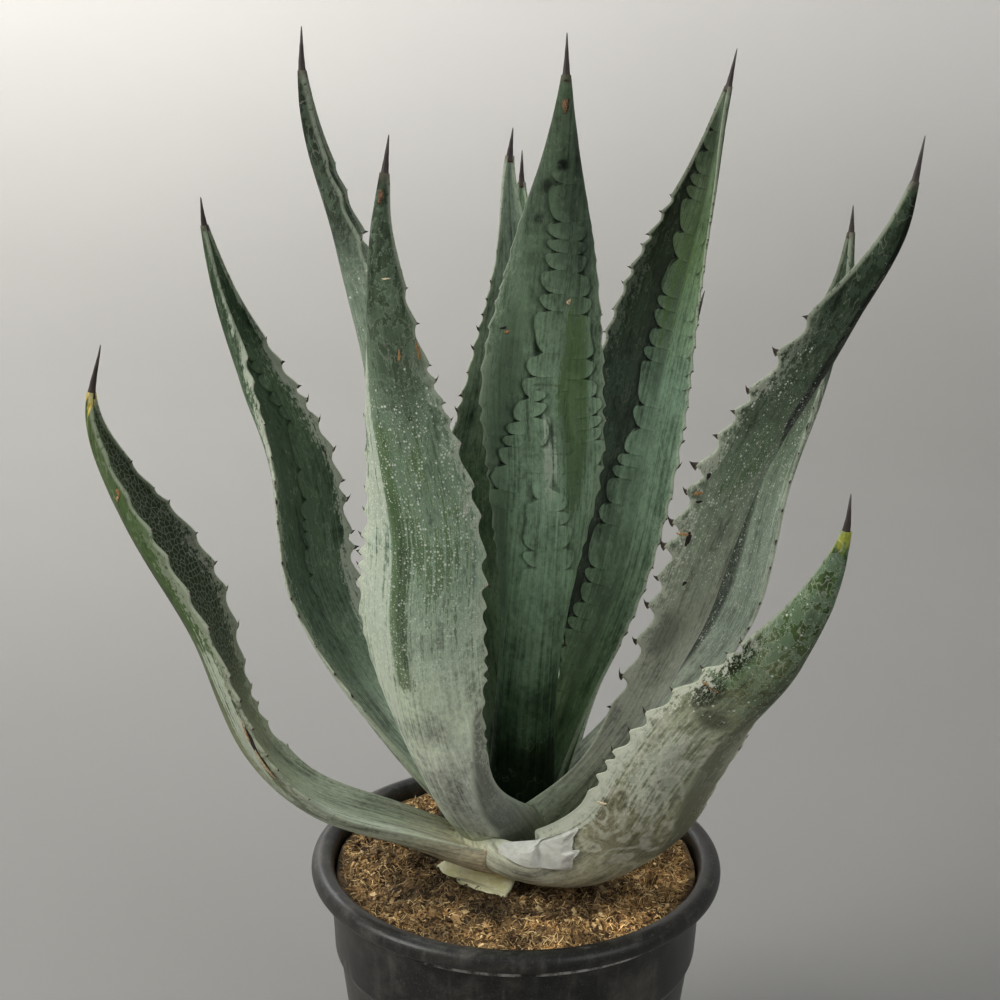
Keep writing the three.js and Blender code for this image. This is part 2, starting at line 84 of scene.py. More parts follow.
# %% [markdown]
# ## Shader sums
# Every surface here is a mix of a few noises. Such a finish could be wired in the node editor, or link
# by link in code, but it is easier to read and to change as a sum. `Wire` wraps one socket and turns
# Python's operators into Math nodes. `Finish` is one material: its `node` method makes any other node,
# sets its settings first and then its sockets, and gives back the output as a wire.

# %% Wires and finishes
class Wire:
    """One output socket that can stand in a sum."""

    def __init__(self, finish, socket):
        self.finish = finish
        self.socket = socket

    def math(self, operation, *values):
        return self.finish.node("Math", {"operation": operation}, dict(enumerate(values)))

    def __add__(self, other):
        return self.math("ADD", self, other)

    def __sub__(self, other):
        return self.math("SUBTRACT", self, other)

    def __rsub__(self, other):
        return self.math("SUBTRACT", other, self)

    def __mul__(self, other):
        return self.math("MULTIPLY", self, other)

    def __pow__(self, other):
        return self.math("POWER", self, other)

    def __abs__(self):
        return self.math("ABSOLUTE", self)

    __radd__ = __add__
    __rmul__ = __mul__

    def sine(self):
        return self.math("SINE", self)

    def part(self):
        """What is left of a number over the whole one below it."""
        return self.math("FRACT", self)

    def least(self, other):
        return self.math("MINIMUM", self, other)

    def also(self, out):
        """Another output of the node behind this wire."""
        return Wire(self.finish, self.socket.node.outputs[out])

    def step(self, low, high):
        """0 below low and 1 above high, with a soft step between; low may be the greater one."""
        sockets = {"Value": self, "From Min": low, "From Max": high}
        return self.finish.node("MapRange", {"interpolation_type": "SMOOTHSTEP"}, sockets)


class Finish:
    """A procedural material in the making."""

    def __init__(self, name, **constants):
        self.material = bpy.data.materials.new(name)
        self.material.use_nodes = True
        self.tree = self.material.node_tree
        self.shader = self.tree.nodes["Principled BSDF"]
        for socket, value in constants.items():
            self.shader.inputs[socket.replace("_", " ")].default_value = value

    def feed(self, socket, value):
        if isinstance(value, Wire):
            self.tree.links.new(value.socket, socket)
        elif socket.type == "RGBA":
            socket.default_value = (*value, 1)[:4]
        else:
            socket.default_value = value

    def node(self, kind, settings=None, inputs=None, out=0):
        made = self.tree.nodes.new("ShaderNode" + kind)
        for key, value in (settings or {}).items():
            if key == "stops":
                self.set_stops(made.color_ramp.elements, value)
            else:
                setattr(made, key, value)
        for key, value in (inputs or {}).items():
            self.feed(made.inputs[key], value)
        return Wire(self, made.outputs[out])

    def set_stops(self, elements, stops):
        while len(elements) < len(stops):
            elements.new(1.0)
        for element, (position, colour) in zip(elements, stops):
            element.position = position
            element.color = (*colour, 1)

    def read(self, name, out="Fac"):
        return self.node("Attribute", {"attribute_name": name}, out=out)

    def split(self, vector):
        first = self.node("SeparateXYZ", None, {0: vector})
        return [first, first.also(1), first.also(2)]

    def times(self, vector, by):
        return self.node("VectorMath", {"operation": "MULTIPLY"}, {0: vector, 1: by})

    def moved(self, vector, by):
        return self.node("VectorMath", {"operation": "ADD"}, {0: vector, 1: by})

    def noise(self, vector, scale=1.0, detail=2.0, rough=0.5, sides="3D"):
        sockets = {"Vector": vector, "Scale": scale, "Detail": detail, "Roughness": rough}
        return self.node("TexNoise", {"noise_dimensions": sides}, sockets)

    def cells(self, vector, scale=1.0, feature="F1"):
        settings = {"feature": feature, "voronoi_dimensions": "2D"}
        return self.node("TexVoronoi", settings, {"Vector": vector, "Scale": scale}, "Distance")

    def mix(self, share, one, other):
        return self.node("Mix", {"data_type": "RGBA"}, {0: share, 6: one, 7: other}, out=2)

    def shade(self, colour, by):
        """The colour made darker or lighter by a number."""
        return self.node("VectorMath", {"operation": "SCALE"}, {0: colour, "Scale": by})

    def surface(self, colour, roughness, height=None, relief=1.0, distance=0.001):
        self.feed(self.shader.inputs["Base Color"], colour)
        self.feed(self.shader.inputs["Roughness"], roughness)
        if height is not None:
            bump = self.node("Bump", None, {"Strength": relief, "Distance": distance, "Height": height})
            self.feed(self.shader.inputs["Normal"], bump)
        return self.material


print("wires and finishes ready")

# %% [markdown]
# ## Meshes from arrays
# Modifiers, curves or sculpting could shape these pieces too, but arrays of points put each point at a
# known place, so that teeth, folds and finishes meet where they should. A closed skin is a row of rings,
# each joined to the next one, with its two ends closed by a fan. Numbers that a finish needs at each
# point, such as how far along the leaf it lies, are stored on the mesh.

# %% Pieces from rings
def ring_faces(rows, columns):
    """The four-sided faces between rows of closed rings, and the three-sided ones that close the ends."""
    row = np.arange(rows - 1)[:, None] * columns
    one = np.arange(columns)[None]
    two = (one + 1) % columns
    sides = np.stack([row + one, row + two, row + columns + two, row + columns + one], -1)
    low = rows * columns
    last = low - columns
    ends = [[low, (i + 1) % columns, i] for i in range(columns)]
    ends += [[low + 1, last + i, last + (i + 1) % columns] for i in range(columns)]
    return sides.reshape(-1, 4).tolist(), ends


def turned(radius, height, sides):
    """Rings round the upright axis; the radius may differ from side to side."""
    turn = np.arange(sides) * 2 * math.pi / sides
    radius = np.broadcast_to(radius.T, (sides, len(height))).T
    level = np.repeat(height[:, None], sides, 1)
    return np.stack([radius * np.cos(turn), radius * np.sin(turn), level], -1)


def signed_volume(points, faces):
    """Six times the volume of a closed skin, below 0 if it is inside out."""
    total = 0.0
    for face in faces:
        corners = points[face]
        total += np.dot(corners[0], np.cross(corners[1], corners[2]))
        if len(face) == 4:
            total += np.dot(corners[0], np.cross(corners[2], corners[3]))
    return total


def add_piece(name, points, faces, material, replaces=(), values=None, smooth=True):
    """A piece of the plant from points in millimetres; values are numbers or vectors for each point."""
    points = np.asarray(points, float) * MM
    mesh = bpy.data.meshes.new(name)
    mesh.from_pydata(points.tolist(), [], faces)
    if smooth:
        mesh.shade_smooth()
    for key, value in (values or {}).items():
        kind = "FLOAT_VECTOR" if value.ndim == 2 else "FLOAT"
        field = "vector" if value.ndim == 2 else "value"
        mesh.attributes.new(key, kind, "POINT").data.foreach_set(field, value.astype(np.float32).ravel())
    mesh.materials.append(material)
    made = bpy.data.objects.new(name, mesh)
    bpy.context.scene.collection.objects.link(made)
    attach(made, "root")
    if replaces:
        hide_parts(*replaces)
    return made


def spread(values):
    """Numbers or vectors for a ring grid, with those of the two end points added."""
    tail = values.shape[2:]
    return np.concatenate([values.reshape(-1, *tail), values[0].mean(0)[None], values[-1].mean(0)[None]])


def skin(rings):
    """Points and faces of a closed skin over rings, an array of rows by columns by three."""
    points = spread(rings)
    sides, ends = ring_faces(*rings.shape[:2])
    faces = sides + ends
    if signed_volume(points - points.mean(0), faces) < 0:
        faces = [face[::-1] for face in faces]
    return points, faces


def smooth_through(xs, ys, x):
    """A smooth curve through points that never overshoots them."""
    xs, ys, x = np.array(xs, float), np.array(ys, float), np.asarray(x, float)
    steps = np.diff(ys) / np.diff(xs)
    product = steps[:-1] * steps[1:]
    total = steps[:-1] + steps[1:]
    middle = np.where(product > 0, 2 * product / np.where(total == 0, 1, total), 0)
    slopes = np.concatenate([steps[:1], middle, steps[-1:]])
    i = np.clip(np.searchsorted(xs, x, side="left") - 1, 0, len(xs) - 2)
    h = xs[i + 1] - xs[i]
    s = np.clip((x - xs[i]) / h, 0, 1)
    return ((1 + 2 * s) * (1 - s) ** 2 * ys[i] + s * (1 - s) ** 2 * h * slopes[i]
            + s * s * (3 - 2 * s) * ys[i + 1] + s * s * (s - 1) * h * slopes[i + 1])


def ripple(x, y, seed, pitch_x, pitch_y, waves=7):
    """Soft irregular waves between about -1 and 1, with the given pitches along two directions."""
    draw = np.random.default_rng(seed)
    total = 0
    for _ in range(waves):
        turn = draw.uniform(0, 2 * math.pi)
        fx = math.cos(turn) * 2 * math.pi / pitch_x * draw.uniform(0.6, 1.5)
        fy = math.sin(turn) * 2 * math.pi / pitch_y * draw.uniform(0.6, 1.5)
        total = total + np.sin(fx * x + fy * y + draw.uniform(0, 2 * math.pi))
    return total / math.sqrt(waves) / 1.2


print("mesh tools ready")

# %% [markdown]
# ## The stage
# The stage is a plain floor and wall, with painted light: the floor is painted darker and the wall paler
# towards the top. A plane with a wall behind it would show an edge from the side, so a round sweep is used:
# a floor that curves up into a wall all the way round. The plant can be looked at from every side in the
# same soft room, lit by four large lamps.

# %% The stage
FLOOR_REACH = 1.5
SWEEP_RADIUS = 1.7
WALL_HEIGHT = 3.4
SWEEP_SIDES = 96

bend = np.radians(np.arange(0, 91, 6))
sweep_reach = np.concatenate([
    [0, 0.5, 1.0], FLOOR_REACH + SWEEP_RADIUS * np.sin(bend), [FLOOR_REACH + SWEEP_RADIUS]])
sweep_level = np.concatenate([[0, 0, 0], SWEEP_RADIUS * (1 - np.cos(bend)), [WALL_HEIGHT]])
sweep_points = turned(sweep_reach, sweep_level, SWEEP_SIDES).reshape(-1, 3)
sweep_mesh = bpy.data.meshes.new("sweep")
sweep_mesh.from_pydata(sweep_points.tolist(), [], ring_faces(len(sweep_reach), SWEEP_SIDES)[0])
sweep_mesh.shade_smooth()
sweep = bpy.data.objects.new("sweep", sweep_mesh)
bpy.context.scene.collection.objects.link(sweep)

plaster = Finish("plaster")
place = plaster.node("TexCoord", out="Object")
# Painted light: the sweep is darker on the floor and paler up the wall
painted_light_up = plaster.split(place)[2].step(-0.1, 0.75)
wall_tone = painted_light_up + plaster.noise(place, 2.5, 3.0) * 0.1
sweep_mesh.materials.append(
    plaster.surface(plaster.mix(wall_tone, (0.235, 0.23, 0.217), (0.5, 0.492, 0.48)), 0.85))

world = bpy.data.worlds.new("sky")
world.use_nodes = True
sky = world.node_tree.nodes["Background"]
sky.inputs["Color"].default_value = (0.93, 0.96, 1.0, 1)
sky.inputs["Strength"].default_value = 0.3
bpy.context.scene.world = world
bpy.context.scene.view_settings.view_transform = "Standard"


def lamp(name, spot, aim, size, power, colour):
    """A square soft light at a spot, turned to what it lights."""
    data = bpy.data.lights.new(name, "AREA")
    data.size = size
    data.energy = power
    data.color = colour
    made = bpy.data.objects.new(name, data)
    made.location = spot
    made.rotation_euler = (Vector(aim) - Vector(spot)).to_track_quat("-Z", "Y").to_euler()
    bpy.context.scene.collection.objects.link(made)


lamp("window", (-1.9, -0.75, 1.85), (0, 0, 0.35), 1.0, 46, (1.0, 0.985, 0.95))
lamp("room", (1.5, -1.5, 1.3), (0, 0, 0.25), 1.4, 13, (0.97, 0.98, 1.0))
lamp("sky_left", (-0.9, 1.3, 1.8), (0, 0, 0.35), 1.0, 20, (0.94, 0.97, 1.0))
lamp("wall_glow", (-1.0, 1.5, 2.2), (-1.25, 2.9, 1.0), 0.7, 62, (1.0, 0.98, 0.94))
print("stage set with", len(bpy.data.lights), "lamps")

# %% [markdown]
# ## The pot
# A nursery pot is blown or moulded from black plastic: a thick rolled rim, a thin ridge under it, a
# collar, and a wall that tapers to the foot. It could be modelled from a cylinder by pulling loops of
# edges, but it is a surface of revolution. So its section is drawn once from the pot's sizes, its
# corners are rounded, and it is turned round the axis, a little out of true.

# %% The pot's shape
POT_HEIGHT = 180
RIM_RADIUS = 110
RIM_INNER = 98
BAND = 10
LIP_RADIUS = 102.5
COLLAR_RADIUS = 99.5
COLLAR_BOTTOM = 127
WALL_RADIUS = 95
FOOT_RADIUS = 80
WALL = 2.4
FLOOR = 3
CORNER = 1.6
POT_SIDES = 200
RIM_BOTTOM = POT_HEIGHT - BAND
SLOPE = (WALL_RADIUS - FOOT_RADIUS) / COLLAR_BOTTOM


def rounded(corners, radius, steps=5):
    """The polyline with each inner corner replaced by a short curve."""
    corners = [np.array(c, float) for c in corners]
    path = [corners[0]]
    for before, corner, after in zip(corners, corners[1:], corners[2:]):
        arms = [before - corner, after - corner]
        starts = [corner + arm * min(0.45, radius / np.linalg.norm(arm)) for arm in arms]
        for t in np.linspace(0, 1, steps):
            path.append((1 - t) ** 2 * starts[0] + 2 * t * (1 - t) * corner + t * t * starts[1])
    return np.array([*path, corners[-1]])


pot_corners = [
    (0, 0), (FOOT_RADIUS - 2, 0), (FOOT_RADIUS, 2), (WALL_RADIUS, COLLAR_BOTTOM - 3),
    (COLLAR_RADIUS - 1.8, COLLAR_BOTTOM + 1), (COLLAR_RADIUS, RIM_BOTTOM - 6), (LIP_RADIUS, RIM_BOTTOM - 5),
    (LIP_RADIUS, RIM_BOTTOM - 3), (LIP_RADIUS + 1, RIM_BOTTOM - 1.6), (RIM_RADIUS - 2.4, RIM_BOTTOM),
    (RIM_RADIUS - 0.4, RIM_BOTTOM + 1.6), (RIM_RADIUS, RIM_BOTTOM + 4.6), (RIM_RADIUS - 1, POT_HEIGHT - 2.2),
    (RIM_RADIUS - 3.6, POT_HEIGHT - 0.3), (RIM_RADIUS - 6, POT_HEIGHT), (RIM_INNER + 1.6, POT_HEIGHT - 1),
    (RIM_INNER, POT_HEIGHT - 4), (COLLAR_RADIUS - 1.8 - WALL, COLLAR_BOTTOM + 2),
    (WALL_RADIUS - WALL, COLLAR_BOTTOM - 3), (FOOT_RADIUS + SLOPE * FLOOR - WALL, FLOOR), (0, FLOOR)]
pot_profile = rounded(pot_corners, CORNER)[1:-1]
turn = np.arange(POT_SIDES) * 2 * math.pi / POT_SIDES
out_of_true = 1 + 0.0012 * np.sin(2 * turn + 0.7) + 0.0006 * np.sin(5 * turn)
pot_rings = turned(pot_profile[:, :1] * out_of_true, pot_profile[:, 1], POT_SIDES)
print(len(pot_profile), "points in the section of the pot")

# %% [markdown]
# The plastic is near black, with a satin gloss. Handling and watering leave it dusty: pale smudges lie
# on the upper wall, runs of dried water go down it, and the ridge under the rim is scuffed grey. A
# picture of stains could be wrapped round it, but noises in the object's own space need no unwrapping
# and stay sharp from near by.

# %% The pot's finish
def plastic_finish():
    made = Finish("black_plastic", Specular_IOR_Level=0.35)
    place = made.node("TexCoord", out="Object")
    z = made.split(place)[2]
    smudges = made.noise(place, 34, 6.0, 0.72).step(0.44, 0.78) * z.step(0.05, 0.15)
    runs = made.noise(made.times(place, (1, 1, 0.12)), 140, 3.0, 0.6).step(0.5, 0.78) * z.step(0.0, 0.12)
    grit = made.noise(place, 900, 2.0, 0.6).step(0.55, 0.75)
    scratches = made.noise(made.times(place, (1, 1, 14)), 90, 3.0, 0.7).step(0.58, 0.7)
    ridge = abs(z - (RIM_BOTTOM - 3.4) * MM).step(0.0026, 0.0008)
    step_edge = abs(z - (COLLAR_BOTTOM - 1) * MM).step(0.003, 0.0008)
    worn = made.noise(place, 60, 5.0, 0.75).step(0.44, 0.62)
    rim_top = z.step(0.1755, 0.179)
    dust = (smudges * 0.6 + runs * 0.3 + grit * 0.3).least(1.0)
    colour = made.mix(dust * 0.8, (0.012, 0.012, 0.0115), (0.16, 0.15, 0.125))
    colour = made.mix(ridge * worn * 0.95, colour, (0.42, 0.41, 0.38))
    colour = made.mix(step_edge * worn * 0.3, colour, (0.11, 0.105, 0.095))
    colour = made.mix(rim_top * scratches * 0.6, colour, (0.1, 0.098, 0.092))
    rough = 0.36 + dust * 0.3 + ridge * 0.15
    height = smudges * 0.12 + grit * 0.1 + scratches * 0.1 + ridge * worn * 0.4
    return made.surface(colour, rough, height, 0.35, 0.0006)


pot_points, pot_faces = skin(pot_rings)
add_piece("nursery_pot", pot_points, pot_faces, plastic_finish(), ["pot"])
print("pot:", len(pot_faces), "faces")

# %% [markdown]
# ## The soil
# The pot is filled with shredded coir, bark chips and a little grit. From far away a bumpy disc would do.
# Seen from near by, what makes it read as fibre are loose pieces. So a lumpy surface gives the shadows
# between the clods, and chips and strands of true size are strewn over it. The soil is painted darker round
# the stem under the leaves, a painted shade, and lighter towards the rim and towards the right, a painted
# light.

# %% The ground under the litter
SOIL_TOP = 172
SOIL_BUMP = 1.08
SOIL_EDGE = 96.2
STEM_RADIUS = 21


def soil_height(x, y):
    """The height of the soil at a place, in millimetres."""
    radius = np.hypot(x, y)
    angle = np.arctan2(y, x)
    swell = np.sin(3 * angle + radius * 0.08) + 0.8 * np.sin(7 * angle - radius * 0.05 + 2)
    rough = np.clip((SOIL_EDGE - radius) / 14, 0, 1)
    clods = 1.5 * ripple(x, y, 5, 21, 21) + 0.9 * ripple(x, y, 6, 9, 9) + 0.55 * ripple(x, y, 7, 4, 4)
    level = SOIL_TOP + 2 * (1 - radius / SOIL_EDGE) + rough * SOIL_BUMP * swell
    return level + clods * (0.35 + 0.65 * rough)


SOIL_ROWS = 100
SOIL_SIDES = 240
soil_radii = np.concatenate([
    [FOOT_RADIUS - 2.5, WALL_RADIUS - WALL - 0.3, RIM_INNER - 3.5, SOIL_EDGE + 0.6],
    np.linspace(SOIL_EDGE, 3, SOIL_ROWS)])
soil_rings = turned(soil_radii, 0 * soil_radii, SOIL_SIDES)
soil_rings[..., 2] = soil_height(soil_rings[..., 0], soil_rings[..., 1])
for row, level in enumerate([FLOOR + 0.3, COLLAR_BOTTOM - 3, COLLAR_BOTTOM + 3, SOIL_TOP - 2.5]):
    soil_rings[row, :, 2] = level


def painted_stem_shade(x, y, clumps):
    """Painted shade: darker round the stem under the leaves, lighter towards the rim."""
    return ((x * x + y * y) ** 0.5 + (clumps - 0.5) * 0.06).step(0.05, 0.078) * 0.6 + 0.45


def soil_finish():
    made = Finish("potting_soil")
    place = made.node("TexCoord", out="Object")
    x, y = made.split(place)[:2]
    clumps = made.noise(place, 70, 4.0, 0.65)
    grain = made.noise(place, 420, 4.0, 0.7)
    fibre = made.noise(made.times(place, (1, 0.25, 1)), 700, 3.0, 0.7)
    colour = made.mix(clumps.step(0.36, 0.66), (0.05, 0.028, 0.013), (0.24, 0.15, 0.065))
    colour = made.mix(grain.step(0.55, 0.75) * 0.7, colour, (0.48, 0.37, 0.22))
    colour = made.mix(fibre.step(0.42, 0.28) * 0.6, colour, (0.02, 0.011, 0.006))
    # Painted light and shade: lighter towards the right, darker round the stem
    colour = made.shade(colour, (x * 4.5 + 1.2) * painted_stem_shade(x, y, clumps))
    return made.surface(colour, 0.95, grain * 0.6 + fibre * 0.4 + clumps, 0.9, 0.0016)


soil_points, soil_faces = skin(soil_rings)
add_piece("soil_ground", soil_points, soil_faces, soil_finish(), ["soil"])
print("soil:", len(soil_faces), "faces")

# %% [markdown]
# Coir is a tangle of short bent fibres, and the bark is in flat broken chips. A particle system could
# scatter them, but what it makes is lost when the model is handed over. So every strand and chip is a
# small closed solid of its own, with a place and a tone drawn from a fixed seed.

# %% The litter on the soil
def litter_spots(draw, count, reach=SOIL_EDGE - 2.5):
    """Random places on the soil outside the stem."""
    radius = np.sqrt(draw.uniform((STEM_RADIUS - 3) ** 2, reach ** 2, count))
    angle = draw.uniform(0, 2 * math.pi, count)
    return radius * np.cos(angle), radius * np.sin(angle)


def coir_strands(count, seed):
    """Thin bent strands with three sides, as points, faces and a tone for each point."""
    draw = np.random.default_rng(seed)
    x, y = litter_spots(draw, count)
    steps = 4
    share = np.linspace(-0.5, 0.5, steps)
    length = draw.uniform(2, 7.5, count)
    heading = draw.uniform(0, 2 * math.pi, count)
    bow = draw.uniform(-0.9, 0.9, count)
    angle = heading[:, None] + bow[:, None] * share
    path_x = x[:, None] + length[:, None] * share * np.cos(angle)
    path_y = y[:, None] + length[:, None] * share * np.sin(angle)
    reach = np.hypot(path_x, path_y)
    shrink = np.minimum(1, (SOIL_EDGE - 0.8) / reach)
    path_x, path_y = path_x * shrink, path_y * shrink
    arch = draw.uniform(-0.4, 1.4, count)[:, None] * (1 - 4 * share ** 2)
    tilt = draw.uniform(-1.3, 1.3, count)[:, None] * share * 2
    path_z = soil_height(path_x, path_y) + 0.25 + arch + tilt
    path = np.stack([path_x, path_y, path_z], -1)
    along = np.gradient(path, axis=1)
    along /= np.linalg.norm(along, axis=2, keepdims=True)
    side = np.cross(along, [0, 0, 1.0])
    side /= np.linalg.norm(side, axis=2, keepdims=True)
    top = np.cross(side, along)
    thick = draw.uniform(0.1, 0.34, count)[:, None] * (1 - 1.1 * share ** 2)
    rings = []
    for corner in range(3):
        a = 2 * math.pi * corner / 3
        rings.append(path + (side * math.cos(a) + top * math.sin(a)) * thick[..., None])
    points = np.stack(rings, 2).reshape(-1, 3)
    base = (np.arange(count) * steps * 3)[:, None]
    cell = np.array([[r * 3 + c, r * 3 + (c + 1) % 3, r * 3 + 3 + (c + 1) % 3, r * 3 + 3 + c]
                     for r in range(steps - 1) for c in range(3)])
    faces = (base[:, :, None] + cell[None]).reshape(-1, 4).tolist()
    last = 3 * (steps - 1)
    for end in ([2, 1, 0], [last, last + 1, last + 2]):
        faces += (base + np.array([end])).tolist()
    return points, faces, np.repeat(draw.uniform(0, 1, count), steps * 3)


def bark_chips(count, seed):
    """Flat irregular chips with eight corners, as points, faces and a tone for each point."""
    draw = np.random.default_rng(seed)
    x, y = litter_spots(draw, count, SOIL_EDGE - 4)
    length = draw.gamma(3.0, 0.6, count) + 0.8
    width = length * draw.uniform(0.25, 0.75, count)
    thick = draw.uniform(0.3, 0.8, count)
    corners = np.array([(a, b, c) for c in (-1, 1) for a, b in ((-1, -1), (1, -1), (1, 1), (-1, 1))], float)
    shape = corners[None] * np.stack([length, width, thick], 1)[:, None] / 2
    shape *= draw.uniform(0.55, 1.15, shape.shape)
    heading = draw.uniform(0, 2 * math.pi, count)
    pitch = draw.normal(0, 0.35, count)
    roll = draw.normal(0, 0.35, count)
    sx, sy, sz = shape[..., 0], shape[..., 1], shape[..., 2]
    sy, sz = (sy * np.cos(roll)[:, None] - sz * np.sin(roll)[:, None],
              sy * np.sin(roll)[:, None] + sz * np.cos(roll)[:, None])
    sx, sz = (sx * np.cos(pitch)[:, None] + sz * np.sin(pitch)[:, None],
              sz * np.cos(pitch)[:, None] - sx * np.sin(pitch)[:, None])
    c, s = np.cos(heading)[:, None], np.sin(heading)[:, None]
    level = soil_height(x, y) + draw.uniform(0.0, 1.0, count)
    points = np.stack([x[:, None] + sx * c - sy * s, y[:, None] + sx * s + sy * c, level[:, None] + sz], -1)
    box = np.array([[3, 2, 1, 0], [4, 5, 6, 7], [0, 1, 5, 4], [1, 2, 6, 5], [2, 3, 7, 6], [3, 0, 4, 7]])
    faces = ((np.arange(count) * 8)[:, None, None] + box[None]).reshape(-1, 4).tolist()
    return points.reshape(-1, 3), faces, np.repeat(draw.uniform(0, 1, count), 8)


def litter_finish(name, dark, middle, pale):
    """Plant matter whose tone goes from dark to pale with each loose piece's own number."""
    made = Finish(name)
    tone = made.read("tone")
    place = made.node("TexCoord", out="Object")
    grain = made.noise(place, 900, 3.0, 0.6)
    colour = made.mix(tone.step(0.0, 0.6), dark, middle)
    colour = made.mix(tone.step(0.66, 1.0), colour, pale)
    x, y = made.split(place)[:2]
    clumps = made.noise(place, 40, 2.0, 0.5)
    # Painted light and shade: lighter towards the right, darker round the stem
    colour = made.shade(colour, (grain * 0.7 + x * 4 + 0.85) * (clumps * 3 - 0.5) * painted_stem_shade(x, y, clumps))
    return made.surface(colour, 0.9, grain, 0.5, 0.0004)


STRANDS = 9500
CHIPS = 4200
coir = litter_finish(
    "coir_strand", (0.08, 0.044, 0.018), (0.4, 0.25, 0.095), (0.72, 0.54, 0.27))
bark = litter_finish(
    "bark_chip", (0.045, 0.024, 0.011), (0.32, 0.19, 0.075), (0.66, 0.49, 0.25))
points, faces, tone = coir_strands(STRANDS, 11)
add_piece("soil_strands", points, faces, coir, values={"tone": tone}, smooth=False)
print("strands:", len(faces), "faces")
points, faces, tone = bark_chips(CHIPS, 12)
add_piece("soil_chips", points, faces, bark, values={"tone": tone}, smooth=False)
print("chips:", len(faces), "faces")

# %% [markdown]
# ## The leaves
# A leaf of this plant is a long channel. Its middle follows a route in space from the stem to the tip of
# its spine; across that route it is an arc, closed round near the tip and wide in the middle. A straight
# strip could be bent along a curve, but then the twist and the curl can't be set apart. The table gives
# each leaf the same driving sizes as its solid, so the finer skin lies where the solid is.

